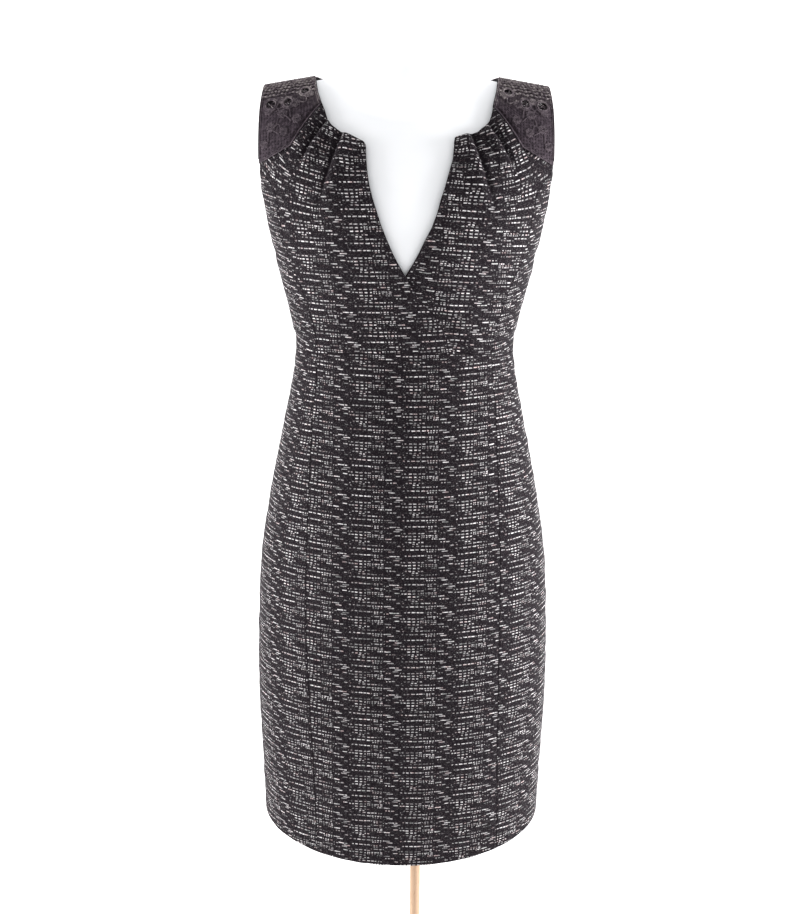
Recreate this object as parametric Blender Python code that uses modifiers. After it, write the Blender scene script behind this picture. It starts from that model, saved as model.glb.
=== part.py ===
"""A sleeveless sheath dress on a limbless dress form, at real size.

Metres, +Z up, and the front faces -Y. Left and right are as seen from the front, so left is -X.
The origin is on the floor, under the middle of the stand's pole.

The cloth follows one surface, skin(turn, run). turn is the angle around the dress, 0 at the
centre front and +90 degrees at the right side seam. run is the way up the cloth: it equals the
height up to the chest, and from there it follows the arch over the shoulder to its ridge, where
front and back meet. Each cut piece is a patch of that surface between its own seams.
"""

from collections import namedtuple
import math

import bmesh
import bpy
from mathutils import Matrix, Vector
import numpy as np

# ------------------------------------------------------------------ driving sizes
CLOTH = 0.0018  # wall of the woven cloth
LACE = 0.0014
SEAM_GAP = 0.0005  # between two pieces along a seam
RIDGE_GAP = 0.0013  # the same along the ridge of the shoulder, where the cloth bends most
LAYER_GAP = 0.0005  # between two layers that lie on each other
POLE_TO_MIDDLE = 0.020  # the pole stands this far to the right of the dress's middle

NECK_POINT_Z = 1.424  # the ridge of the shoulder beside the neck
CHEST_Z = 1.300  # where the cloth starts to arch over the shoulder
ARCH_RUN = 0.155  # length of that arch, from the chest to the ridge
WAIST_SIDE_Z = 1.101
HEM_SIDE_Z = 0.474
ROUNDNESS = 2.15  # exponent of the sections, where 2 is an ellipse

Section = namedtuple("Section", "height half_width front back")
SECTIONS = (
    Section(0.450, 0.1820, 0.134, 0.134),  # hem
    Section(0.545, 0.1845, 0.141, 0.142),
    Section(0.650, 0.1880, 0.143, 0.148),
    Section(0.744, 0.1865, 0.143, 0.152),
    Section(0.850, 0.1795, 0.141, 0.152),  # hip
    Section(0.900, 0.1715, 0.137, 0.146),
    Section(0.963, 0.1595, 0.128, 0.130),
    Section(1.025, 0.1465, 0.116, 0.108),
    Section(1.075, 0.1370, 0.106, 0.097),
    Section(1.100, 0.1340, 0.103, 0.094),  # waist
    Section(1.145, 0.1410, 0.110, 0.099),
    Section(1.190, 0.1520, 0.124, 0.106),
    Section(1.233, 0.1615, 0.134, 0.112),  # bust
    Section(1.262, 0.1680, 0.134, 0.116),
    Section(1.305, 0.1775, 0.127, 0.119),
    Section(1.340, 0.1820, 0.116, 0.118),
    Section(1.380, 0.1860, 0.102, 0.113),
    Section(1.425, 0.1900, 0.088, 0.106),
)

Level = namedtuple("Level", "x height")
SHOULDER_RIDGE = (
    Level(0.0, 1.424), Level(0.085, 1.424), Level(0.100, 1.422), Level(0.170, 1.410), Level(0.190, 1.404),
)

Edge = namedtuple("Edge", "height x")
NECK_EDGE_OVER = (  # left side of the V, a rounded corner, then the scoop up to the shoulder
    Edge(1.207, 0.000), Edge(1.221, 0.008), Edge(1.235, 0.015), Edge(1.249, 0.021), Edge(1.263, 0.027),
    Edge(1.278, 0.032), Edge(1.293, 0.037), Edge(1.308, 0.041), Edge(1.322, 0.0435), Edge(1.337, 0.045),
    Edge(1.351, 0.0455), Edge(1.355, 0.048), Edge(1.360, 0.060), Edge(1.365, 0.0745), Edge(1.371, 0.085),
    Edge(1.378, 0.090), Edge(1.387, 0.093), Edge(1.398, 0.098), Edge(1.410, 0.1025), Edge(1.424, 0.106),
)
NECK_EDGE_UNDER = (  # the right side's corner is sharper and a little higher
    Edge(1.207, 0.000), Edge(1.221, 0.008), Edge(1.235, 0.015), Edge(1.249, 0.0215), Edge(1.263, 0.029),
    Edge(1.278, 0.0345), Edge(1.293, 0.0385), Edge(1.308, 0.0435), Edge(1.322, 0.0475), Edge(1.337, 0.052),
    Edge(1.351, 0.0535), Edge(1.355, 0.0535), Edge(1.360, 0.0545), Edge(1.365, 0.0800), Edge(1.371, 0.0885),
    Edge(1.378, 0.0945), Edge(1.387, 0.0975), Edge(1.398, 0.0995), Edge(1.410, 0.103), Edge(1.424, 0.106),
)
NECK_EDGE_BACK = (
    Edge(1.383, 0.000), Edge(1.385, 0.018), Edge(1.398, 0.063), Edge(1.410, 0.085), Edge(1.419, 0.098),
    Edge(1.424, 0.106),
)
LAP_EDGE = (Edge(1.101, 0.0600), Edge(1.150, 0.0345), Edge(1.178, 0.0168), Edge(1.207, 0.0))
HIDDEN_EDGE = (Edge(1.101, -0.0300), Edge(1.207, 0.0))  # edge of the under layer, below the V
V_POINT_Z = 1.207
V_FADE = 0.030  # above the point of the V the two layers part within this height
LAP_TUCK = 0.012  # the under layer stays sunk this far past the lap's edge
LAP_RISE = 0.018  # and is back at the surface after this much more
PRINCESS_SEAM = (
    Edge(1.101, 0.1030), Edge(1.126, 0.1050), Edge(1.146, 0.1100), Edge(1.166, 0.1150), Edge(1.187, 0.1220),
    Edge(1.207, 0.1310), Edge(1.235, 0.1415), Edge(1.263, 0.1455), Edge(1.293, 0.1500), Edge(1.308, 0.1590),
    Edge(1.322, 0.1705),
)
SKIRT_SEAM = (
    Edge(0.450, 0.1150), Edge(0.610, 0.1160), Edge(0.757, 0.1180), Edge(0.859, 0.1175), Edge(0.977, 0.1125),
    Edge(1.037, 0.1100), Edge(1.063, 0.1065), Edge(1.115, 0.1030),
)
HEM_DRIFT = 0.009  # the front skirt hangs this far to the right at its hem
DRIFT_START_Z = 0.757

Armhole = namedtuple("Armhole", "height degrees_from_side")
ARMHOLE = (
    Armhole(1.235, 0.0), Armhole(1.239, 3.8), Armhole(1.249, 7.2), Armhole(1.263, 10.0),
    Armhole(1.278, 12.3), Armhole(1.293, 14.2), Armhole(1.308, 16.0), Armhole(1.322, 17.5),
    Armhole(1.351, 20.3), Armhole(1.378, 22.5), Armhole(1.398, 24.3), Armhole(1.424, 27.5),
)

LOWER_BODICE_ROWS = (1.101, 1.126, 1.146, 1.166, 1.187, 1.207, 1.221, 1.235)
FRONT_UPPER_ROWS = (
    1.239, 1.249, 1.263, 1.278, 1.293, 1.308, 1.322, 1.337, 1.351, 1.355, 1.360, 1.365, 1.371, 1.378, 1.387,
    1.398, 1.410, 1.419, 1.4228,
)
BACK_UPPER_ROWS = (
    1.239, 1.249, 1.263, 1.285, 1.308, 1.332, 1.355, 1.371, 1.383, 1.385, 1.398, 1.410, 1.419, 1.4228,
)
SIDE_TIP_Z = 1.322  # the princess seam ends in the armhole here
STEEPEST_SLANT = 2.0  # of a seam, where its gap is measured square to it
SKIRT_ROWS = (0.0, 0.02, 0.08, 0.16, 0.25, 0.35, 0.45, 0.55, 0.65, 0.75, 0.84, 0.92, 1.0)
BODICE_COLUMNS = (  # from the middle outwards, closer where the pleats are
    0, 0.07, 0.14, 0.195, 0.25, 0.30, 0.35, 0.40, 0.45, 0.50, 0.55, 0.60, 0.65, 0.71, 0.78, 0.85, 0.925, 1,
)
SIDE_COLUMNS = 5
SKIRT_FRONT_COLUMNS = 12
SKIRT_SIDE_COLUMNS = 5
SKIRT_BACK_COLUMNS = 10

Pleat = namedtuple("Pleat", "top_x top_z foot_x foot_z depth width")
PLEATS = (  # from the centre outwards, the same on both sides
    Pleat(0.0740, 1.363, 0.1010, 1.268, 0.0052, 0.0095),
    Pleat(0.0925, 1.376, 0.1260, 1.315, 0.0058, 0.0095),
    Pleat(0.0965, 1.398, 0.1400, 1.333, 0.0040, 0.0090),
)
PLEAT_RIDGE = 1.25  # height of a pleat's fold and depth of the crease beside it, as shares of its depth
PLEAT_CREASE = 0.80
CREASE_NARROWING = 1.6
PLEAT_CURVE = 1.5  # the pleats fan out fast at the neckline and straighten below
PLEAT_FADE_FROM = 0.15  # share of its length, from the neckline, that keeps the whole depth
PLEAT_AT_EDGE = 0.35  # share of a pleat's depth on the neckline itself
PLEAT_GROWTH = 0.012  # and it has its whole depth this far from there

Hole = namedtuple("Hole", "x degrees_over width length")  # 90 degrees over is the ridge
LACE_HOLES = (
    Hole(0.1145, 57.0, 0.0085, 0.0120), Hole(0.1345, 52.0, 0.0085, 0.0130),
    Hole(0.1545, 55.0, 0.0080, 0.0115), Hole(0.1245, 82.0, 0.0075, 0.0105),
    Hole(0.1450, 84.0, 0.0075, 0.0105), Hole(0.1180, 108.0, 0.0080, 0.0110),
    Hole(0.1360, 112.0, 0.0080, 0.0110), Hole(0.1530, 108.0, 0.0075, 0.0105),
)
Corner = namedtuple("Corner", "x height")
LACE_LOWER_EDGE = (Corner(0.0960, 1.397), Corner(0.1310, 1.351), Corner(0.1750, 1.325))
LACE_BACK_Z = 1.385  # lower edge of the lace on the back
LACE_FRONT_FOOT_Z = 1.308  # first front row that the lace is cut from

# ------------------------------------------------------------------ dress form
FORM_CLEARANCE = 0.0072  # from the cloth's outer face to the form
FORM_SEAT = CLOTH + 0.0004  # the same on the ridge of the shoulder, which carries the dress
FORM_SHOULDER = 0.158  # half width of the form where its arms would be
FORM_BOTTOM_Z = 0.800
FORM_ROWS = (
    0.800, 0.860, 0.920, 0.980, 1.040, 1.100, 1.145, 1.190, 1.233, 1.270, 1.300, 1.340, 1.372, 1.398,
    1.414, 1.424,
)
FORM_COLUMNS = 32
Turned = namedtuple("Turned", "radius height")
FORM_NECK = (
    Turned(0.0, 1.478), Turned(0.0480, 1.478), Turned(0.0510, 1.4765), Turned(0.0522, 1.473),
    Turned(0.0530, 1.450), Turned(0.0565, 1.438), Turned(0.0640, 1.427), Turned(0.0760, 1.416),
    Turned(0.0800, 1.400), Turned(0.0700, 1.370), Turned(0.0, 1.350),
)

# ------------------------------------------------------------------ stand
POLE_RADIUS = 0.007
POLE_FIT = 0.0003
POLE_IN_FORM = 0.060
BASE_RADIUS = 0.215
BASE_THICK = 0.024
BOSS_RADIUS = 0.030
BOSS_TOP_Z = 0.042
POLE_FOOT_Z = 0.012
COLLAR_RADIUS = 0.024
COLLAR_HEIGHT = 0.020

# ------------------------------------------------------------------ zip
ZIP_TAPE_HALF_WIDTH = 0.012
ZIP_TAPE = 0.0009
ZIP_TOP_Z = 1.371
ZIP_BOTTOM_Z = 0.830
SLIDER_Z = 1.362
SLIDER_WIDTH = 0.0052
SLIDER_LENGTH = 0.0090
SLIDER_THICK = 0.0022
PIN_RADIUS = 0.0005
PIN_HEIGHT = 0.0044  # of the hinge pin above the cloth
EYE_INNER = 0.0008
EYE_OUTER = 0.0014
EYE_WIDTH = 0.0030
LUG_THICK = 0.0008
LUG_GAP = 0.0003
LUG_LENGTH = 0.0030
LUG_OVER_PIN = 0.0012
SLIDER_GAP = 0.0004  # to the cloth
SLIDER_OVER_PIN = 0.0015  # the slider's middle is this far above the pin
TAB_LENGTH = 0.0200
TAB_WIDTH = 0.0050
TAB_THICK = 0.0012
TAB_NECK = 0.0045  # from the pin to the wide blade
TAB_REST_DEGREES = 11  # the tab leans in until its tip lies by the cloth


# ------------------------------------------------------------------ reading the tables
def column(table, name):
    return np.array([getattr(row, name) for row in table])


def smooth(table, name, height):
    """A column of a table at any height, on a smooth curve through its rows."""
    at = column(table, "height")
    value = column(table, name)
    slope = np.gradient(value, at)
    height = np.clip(height, at[0], at[-1])
    i = np.clip(np.searchsorted(at, height) - 1, 0, len(at) - 2)
    step = at[i + 1] - at[i]
    t = (height - at[i]) / step
    start = (2 * t**3 - 3 * t**2 + 1) * value[i] + (t**3 - 2 * t**2 + t) * step * slope[i]
    end = (3 * t**2 - 2 * t**3) * value[i + 1] + (t**3 - t**2) * step * slope[i + 1]
    return start + end


def edge_x(table, height):
    return np.interp(height, column(table, "height"), column(table, "x"))


def ease(t):
    """0 below 0, 1 above 1, and a soft step between."""
    t = np.clip(t, 0.0, 1.0)
    return t * t * (3 - 2 * t)


# ------------------------------------------------------------------ the surface of the dress
def ridge(x):
    return np.interp(np.abs(x), column(SHOULDER_RIDGE, "x"), column(SHOULDER_RIDGE, "height"))


def arch(run):
    """Angle over the shoulder, 0 at the chest and 90 degrees on the ridge."""
    return np.clip((run - CHEST_Z) / ARCH_RUN, 0.0, 1.0) * math.pi / 2


def run_at(height):
    """The run at a height beside the neck."""
    over = np.clip((np.asarray(height, float) - CHEST_Z) / (NECK_POINT_Z - CHEST_Z), 0.0, 1.0)
    return np.minimum(height, CHEST_Z) + ARCH_RUN * np.arcsin(over) / (math.pi / 2)


def height_at(run):
    return np.minimum(run, CHEST_Z) + (NECK_POINT_Z - CHEST_Z) * np.sin(arch(run))


def skin(turn, run, clearance=0.0, seat=0.0, widest=1.0):
    """Points of the dress's outer face, or of a smaller surface inside it."""
    height = height_at(run)
    half_width = np.minimum(smooth(SECTIONS, "half_width", height) - clearance, widest)
    front = smooth(SECTIONS, "front", height) - clearance
    back = smooth(SECTIONS, "back", height) - clearance
    across = np.sin(turn)
    x = half_width * across
    z = np.minimum(run, CHEST_Z) + (ridge(x) - seat - CHEST_Z) * np.sin(arch(run))
    depth = np.maximum(0.0, 1 - np.abs(across) ** ROUNDNESS) ** (1 / ROUNDNESS) * np.cos(arch(run))
    y = np.where(np.cos(turn) >= 0, -front * depth, back * depth)
    return np.stack([x, y, z], axis=-1)


def outward(turn, run):
    """Unit normals of the dress's surface."""
    step = 1e-4
    top = CHEST_Z + ARCH_RUN
    upper = np.minimum(run + step, top)
    around = skin(turn + step, run) - skin(turn - step, run)
    up = skin(turn, upper) - skin(turn, upper - 2 * step)
    normal = np.cross(around, up)
    return normal / np.linalg.norm(normal, axis=-1, keepdims=True)


def turn_at(x, height, back=False):
    """The turn at which the surface has this x."""
    angle = np.arcsin(np.clip(x / smooth(SECTIONS, "half_width", height), -1, 1))
    return math.pi - angle if back else angle


def set_in(turn, run, distance):
    """An edge of turns and runs moved this far square to itself, around the dress."""
    step = 1e-3
    speed = np.linalg.norm(skin(turn + step, run) - skin(turn - step, run), axis=-1) / (2 * step)
    slant = np.gradient(turn, run) * speed
    return turn + distance * np.sqrt(1 + np.minimum(slant**2, STEEPEST_SLANT**2)) / speed


def waist_z(turn):
    """The waist seam rises a little towards the middle of the front and the back."""
    return WAIST_SIDE_Z + np.where(np.cos(turn) >= 0, 0.012, 0.004) * np.cos(turn) ** 2


def hem_z(turn):
    return HEM_SIDE_Z - np.where(np.cos(turn) >= 0, 0.018, 0.012) * np.cos(turn) ** 2


def pleat_relief(x, height, neck_edge):
    """How far the pleats of the scoop neckline raise or sink the cloth."""
    relief = np.zeros(np.broadcast(x, height).shape)
    for pleat in PLEATS:
        t = (pleat.top_z - height) / (pleat.top_z - pleat.foot_z)
        spread = np.where(t < 0, PLEAT_CURVE * t, 1 - np.clip(1 - t, 0, None) ** PLEAT_CURVE)
        line = pleat.top_x + (pleat.foot_x - pleat.top_x) * spread
        off = (np.abs(x) - line) / pleat.width
        fold = PLEAT_RIDGE * np.exp(-((off + 1.0) ** 2))
        crease = PLEAT_CREASE * np.exp(-((CREASE_NARROWING * off) ** 2))
        relief += pleat.depth * (1 - ease((t - PLEAT_FADE_FROM) / (1 - PLEAT_FADE_FROM))) * (fold - crease)
    grown = ease((np.abs(x) - edge_x(neck_edge, height)) / PLEAT_GROWTH)
    return relief * (PLEAT_AT_EDGE + (1 - PLEAT_AT_EDGE) * grown)


# ------------------------------------------------------------------ cut pieces
def make_object(name, mesh, material):
    for face in mesh.polygons:
        face.use_smooth = True
    mesh.materials.append(material)
    thing = bpy.data.objects.new(name, mesh)
    collection.objects.link(thing)
    return thing


def grid_mesh(name, points):
    """An open surface of triangles through rows and columns of points, facing outwards."""
    rows, columns = points.shape[:2]
    mesh = bpy.data.meshes.new(name)
    corners = [r * columns + c for r in range(rows - 1) for c in range(columns - 1)]
    faces = [(i, i + 1, i + 1 + columns) for i in corners]
    faces += [(i, i + 1 + columns, i + columns) for i in corners]
    mesh.from_pydata(points.reshape(-1, 3).tolist(), [], faces)
    return mesh


def add_wall(thing, thickness, offset=-1.0):
    wall = thing.modifiers.new("wall", "SOLIDIFY")
    wall.thickness = thickness
    wall.offset = offset


def cloth_piece(name, points, material):
    thing = make_object(name, grid_mesh(name, points), material)
    thing.parent = dress_middle
    add_wall(thing, CLOTH)
    return thing


def patch(left, right, rows, columns, relief=None):
    """Points between two edges, which are turns at each row, moved out by the relief."""
    share = np.asarray(columns, float)[None, :]
    left = set_in(left, rows[:, 0], SEAM_GAP / 2)[:, None]
    right = set_in(right, rows[:, -1], -SEAM_GAP / 2)[:, None]
    turn = left + (right - left) * share
    run = rows if rows.shape[1] > 1 else np.repeat(rows, share.shape[1], axis=1)
    points = skin(turn, run)
    if relief is None:
        return points
    return points + outward(turn, run) * relief(points[..., 0], height_at(run))[..., None]


def bodice_runs(heights, left, right, columns):
    """The runs of a bodice piece's rows: the first follow the waist seam, the last stops at the ridge."""
    heights = np.asarray(heights, float)[:, None]
    turn = left[:, None] + (right - left)[:, None] * np.asarray(columns, float)[None, :]
    above_waist = 1 - ease((heights - WAIST_SIDE_Z) / 0.100)
    lift = (waist_z(turn) - WAIST_SIDE_Z + SEAM_GAP / 2) * above_waist
    return np.minimum(run_at(heights) + lift, CHEST_Z + ARCH_RUN - RIDGE_GAP / 2)


def armhole_turn(heights):
    """The turn of the right side seam, and above the underarm that of the armhole's front edge."""
    degrees = np.interp(heights, column(ARMHOLE, "height"), column(ARMHOLE, "degrees_from_side"))
    return np.radians(90 - degrees)


def front_piece(side, neck_edge, low_edge, relief):
    """Turns run from left to right; side is -1 for the left piece and +1 for the right one."""
    heights = np.array(LOWER_BODICE_ROWS + FRONT_UPPER_ROWS + (NECK_POINT_Z,))
    in_v = heights > column(neck_edge, "height")[0]
    neck_x = np.where(in_v, side * edge_x(neck_edge, heights), edge_x(low_edge, heights))
    inner = turn_at(neck_x, heights)
    seam = turn_at(edge_x(PRINCESS_SEAM, heights), heights)
    outer = side * np.where(heights <= SIDE_TIP_Z, seam, armhole_turn(heights))
    columns = np.asarray(BODICE_COLUMNS, float)
    left, right = (outer, inner) if side < 0 else (inner, outer)
    share = 1 - columns[::-1] if side < 0 else columns
    runs = bodice_runs(heights, left, right, share)
    return patch(left, right, runs, share, relief)


def over_relief(x, height):
    return pleat_relief(x, height, NECK_EDGE_OVER)


def under_relief(x, height):
    """The under layer sinks below the lap, and comes back to the surface beside its edge."""
    sunk = CLOTH + LAYER_GAP
    beside = x - edge_x(LAP_EDGE, height)
    near_v = 1 - ease((height - V_POINT_Z) / V_FADE)
    lap = sunk * (1 - ease((beside - LAP_TUCK) / LAP_RISE)) * near_v
    return pleat_relief(x, height, NECK_EDGE_UNDER) - lap


def side_front_piece(side):
    heights = np.array([z for z in LOWER_BODICE_ROWS + FRONT_UPPER_ROWS if z <= SIDE_TIP_Z])
    inner = turn_at(edge_x(PRINCESS_SEAM, heights), heights) * side
    outer = armhole_turn(heights) * side
    left, right = (outer, inner) if side < 0 else (inner, outer)
    share = np.linspace(0, 1, SIDE_COLUMNS + 1)
    return patch(left, right, bodice_runs(heights, left, right, share), share)


def back_piece(side):
    """The back has turns above 90 degrees: the right piece comes first, then the left one."""
    heights = np.array(LOWER_BODICE_ROWS + BACK_UPPER_ROWS + (NECK_POINT_Z,))
    neck_x = edge_x(NECK_EDGE_BACK, heights)
    inner = turn_at(neck_x, heights, back=True)
    outer = math.pi - armhole_turn(heights)
    columns = np.asarray(BODICE_COLUMNS, float)
    if side > 0:
        left, right, share = outer, inner, 1 - columns[::-1]
    else:
        left, right, share = 2 * math.pi - inner, 2 * math.pi - outer, columns
    return patch(left, right, bodice_runs(heights, left, right, share), share)


def skirt_piece(left_x, right_x, columns, back=False):
    """Rows go from the hem to the waist seam; an edge of None is the side seam on that side."""
    share = np.linspace(0, 1, columns + 1)
    level = np.asarray(SKIRT_ROWS)
    heights = HEM_SIDE_Z + (WAIST_SIDE_Z - HEM_SIDE_Z) * level
    side_seam = np.full_like(heights, math.pi / 2)
    left = -side_seam if left_x is None else turn_at(left_x(heights), heights)
    right = side_seam if right_x is None else turn_at(right_x(heights), heights)
    if back:
        middle = np.full_like(heights, math.pi)
        left, right = (side_seam, middle) if left_x is None else (middle, middle + side_seam)
    turn = left[:, None] + (right - left)[:, None] * share[None, :]
    bottom = hem_z(turn)
    runs = bottom + (waist_z(turn) - SEAM_GAP / 2 - bottom) * level[:, None]
    return patch(left, right, runs, share)


def drift(heights):
    return HEM_DRIFT * np.clip((DRIFT_START_Z - heights) / (DRIFT_START_Z - 0.450), 0, 1)


def left_skirt_seam(heights):
    return drift(heights) - edge_x(SKIRT_SEAM, heights)


def right_skirt_seam(heights):
    return drift(heights) + edge_x(SKIRT_SEAM, heights)


# ------------------------------------------------------------------ lace yokes
def lace_yoke(side, front, back, material):
    """Made from the points of the cloth under it, moved out, over the ridge and down the back."""
    front_rows = front[list(LOWER_BODICE_ROWS + FRONT_UPPER_ROWS).index(LACE_FRONT_FOOT_Z):]
    back_heights = LOWER_BODICE_ROWS + BACK_UPPER_ROWS
    back_rows = back[back_heights.index(LACE_BACK_Z):][::-1, ::-1]
    points = np.concatenate([front_rows, back_rows[1:]])
    name = "lace_yoke_right" if side > 0 else "lace_yoke_left"
    mesh = grid_mesh(name, points)
    bm = bmesh.new()
    bm.from_mesh(mesh)
    bm.normal_update()
    for vertex in bm.verts:
        vertex.co += vertex.normal * LAYER_GAP
    for start, end in zip(LACE_LOWER_EDGE, LACE_LOWER_EDGE[1:]):
        along = Vector((end.x - start.x, 0, end.height - start.height))
        bmesh.ops.bisect_plane(
            bm, geom=bm.verts[:] + bm.edges[:] + bm.faces[:], dist=1e-6, clear_outer=True,
            plane_co=(side * start.x, 0, start.height), plane_no=(side * along.z, 0, -along.x),
        )
    bm.to_mesh(mesh)
    bm.free()
    thing = make_object(name, mesh, material)
    thing.parent = dress_middle
    add_wall(thing, LACE, offset=1.0)
    cut = thing.modifiers.new("holes", "BOOLEAN")
    cut.operation = "DIFFERENCE"
    cut.object = hole_cutters(side)
    return thing


def hole_cutters(side):
    """Oval pegs through the lace, square to the cloth."""
    bm = bmesh.new()
    for hole in LACE_HOLES:
        over_back = hole.degrees_over > 90
        rise = 180 - hole.degrees_over if over_back else hole.degrees_over
        run = CHEST_Z + ARCH_RUN * rise / 90
        turn = turn_at(side * hole.x, height_at(run), back=over_back)
        middle = Vector(skin(turn, run))
        normal = Vector(outward(turn, run))
        across = Vector((1, 0, 0)) - normal * normal.x
        across.normalize()
        frame = Matrix((across, normal.cross(across), normal)).transposed().to_4x4()
        frame.translation = middle + normal * (LAYER_GAP + LACE / 2)
        stretch = Matrix.Diagonal((hole.width / 2, hole.length / 2, 1, 1))
        bmesh.ops.create_cone(
            bm, cap_ends=True, segments=10, radius1=1.0, radius2=1.0, depth=0.008, matrix=frame @ stretch,
        )
    mesh = bpy.data.meshes.new("lace_holes")
    bm.to_mesh(mesh)
    bm.free()
    cutter = bpy.data.objects.new("lace_holes", mesh)
    cutters.objects.link(cutter)
    cutter.hide_render = True
    cutter.display_type = "WIRE"
    cutter.parent = dress_middle
    return cutter


# ------------------------------------------------------------------ dress form and stand
def turned_piece(name, profile, material, steps=32):
    """A profile of (radius, height) turned about the Z axis; it runs down its outer side."""
    mesh = bpy.data.meshes.new(name)
    points = [(radius, 0, height) for radius, height in profile]
    mesh.from_pydata(points, [(i, i + 1) for i in range(len(points) - 1)], [])
    thing = make_object(name, mesh, material)
    screw = thing.modifiers.new("turn", "SCREW")
    screw.steps = steps
    screw.render_steps = steps
    screw.use_merge_vertices = True
    screw.merge_threshold = 1e-5
    return thing


def as_cutter(thing):
    collection.objects.unlink(thing)
    cutters.objects.link(thing)
    thing.hide_render = True
    thing.display_type = "WIRE"


def make_form(material):
    turn = np.linspace(-math.pi, math.pi, FORM_COLUMNS, endpoint=False)[None, :]
    run = run_at(np.array(FORM_ROWS))[:, None]
    points = skin(turn, run, FORM_CLEARANCE, FORM_SEAT, FORM_SHOULDER)
    rows, columns = points.shape[:2]
    mesh = bpy.data.meshes.new("form_torso")
    faces = [list(range(columns))[::-1]]
    for r in range(rows - 1):
        for c in range(columns):
            low, high = r * columns, (r + 1) * columns
            after = (c + 1) % columns
            faces.append([low + c, low + after, high + after, high + c])
    mesh.from_pydata(points.reshape(-1, 3).tolist(), [], faces)
    bm = bmesh.new()
    bm.from_mesh(mesh)
    bmesh.ops.remove_doubles(bm, verts=bm.verts, dist=1e-5)
    bmesh.ops.dissolve_degenerate(bm, edges=bm.edges, dist=1e-5)
    bm.to_mesh(mesh)
    bm.free()
    torso = make_object("form_torso", mesh, material)
    torso.parent = dress_middle
    neck = turned_piece("form_neck", FORM_NECK, material, steps=36)
    neck.parent = dress_middle
    as_cutter(neck)
    join = torso.modifiers.new("neck", "BOOLEAN")
    join.operation = "UNION"
    join.object = neck
    bpy.ops.mesh.primitive_cylinder_add(
        vertices=24, radius=POLE_RADIUS + POLE_FIT, depth=2 * (POLE_IN_FORM + POLE_FIT),
        location=(0, 0, FORM_BOTTOM_Z),
    )
    bore = bpy.context.object
    bore.name = "pole_bore"
    for owner in bore.users_collection:
        owner.objects.unlink(bore)
    collection.objects.link(bore)
    as_cutter(bore)
    drill = torso.modifiers.new("bore", "BOOLEAN")
    drill.operation = "DIFFERENCE"
    drill.object = bore
    return torso


def make_stand(wood):
    foot = POLE_FOOT_Z + POLE_FIT
    top = FORM_BOTTOM_Z + POLE_IN_FORM
    pole_edge = 0.001
    turned_piece("form_pole", (
        (0, top), (POLE_RADIUS - pole_edge, top), (POLE_RADIUS, top - pole_edge),
        (POLE_RADIUS, foot + pole_edge), (POLE_RADIUS - pole_edge, foot), (0, foot),
    ), wood, steps=24)
    inner = POLE_RADIUS + POLE_FIT
    seat = FORM_BOTTOM_Z - POLE_FIT
    low = seat - COLLAR_HEIGHT
    turned_piece("form_collar", (
        (inner, seat), (COLLAR_RADIUS - 0.002, seat), (COLLAR_RADIUS, seat - 0.002),
        (COLLAR_RADIUS, seat - 0.008), (COLLAR_RADIUS - 0.008, low + 0.002), (COLLAR_RADIUS - 0.010, low),
        (inner, low), (inner, seat),
    ), wood, steps=24)
    turned_piece("form_base", (
        (0, POLE_FOOT_Z), (inner, POLE_FOOT_Z), (inner, BOSS_TOP_Z), (BOSS_RADIUS - 0.012, BOSS_TOP_Z),
        (BOSS_RADIUS - 0.008, BOSS_TOP_Z - 0.003), (BOSS_RADIUS, BASE_THICK + 0.001),
        (BASE_RADIUS - 0.010, BASE_THICK), (BASE_RADIUS - 0.003, BASE_THICK - 0.003),
        (BASE_RADIUS, BASE_THICK - 0.010), (BASE_RADIUS, 0.003), (BASE_RADIUS - 0.003, 0), (0, 0),
    ), wood, steps=40)


# ------------------------------------------------------------------ centre-back zip
def make_zip_tape(skirt_right, skirt_left, bodice_right, bodice_left, material):
    """A strip behind the centre-back seam, made from the points of the cloth over it, moved in."""
    low = next(i for i, z in enumerate(skirt_right[:, -1, 2]) if z > ZIP_BOTTOM_Z)
    high = list(LOWER_BODICE_ROWS + BACK_UPPER_ROWS).index(ZIP_TOP_Z)
    sides = []
    for skirt, bodice, seam, beside in ((skirt_right, bodice_right, -1, -2), (skirt_left, bodice_left, 0, 1)):
        at_seam = np.concatenate([skirt[low:-1, seam], bodice[:high + 1, seam]])
        next_to_it = np.concatenate([skirt[low:-1, beside], bodice[:high + 1, beside]])
        away = next_to_it - at_seam
        reach = ZIP_TAPE_HALF_WIDTH / np.linalg.norm(away, axis=-1, keepdims=True)
        sides.append((at_seam, at_seam + away * reach))
    (right_seam, right_edge), (left_seam, left_edge) = sides
    points = np.stack([right_edge, (right_seam + left_seam) / 2, left_edge], axis=1)
    mesh = grid_mesh("zip_tape", points)
    bm = bmesh.new()
    bm.from_mesh(mesh)
    bm.normal_update()
    for vertex in bm.verts:
        vertex.co -= vertex.normal * (CLOTH + LAYER_GAP)
    bm.to_mesh(mesh)
    bm.free()
    tape = make_object("zip_tape", mesh, material)
    tape.parent = dress_middle
    add_wall(tape, ZIP_TAPE)


def box(bm, size, middle):
    bmesh.ops.create_cube(bm, size=1.0, matrix=Matrix.Translation(middle) @ Matrix.Diagonal((*size, 1)))


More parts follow.
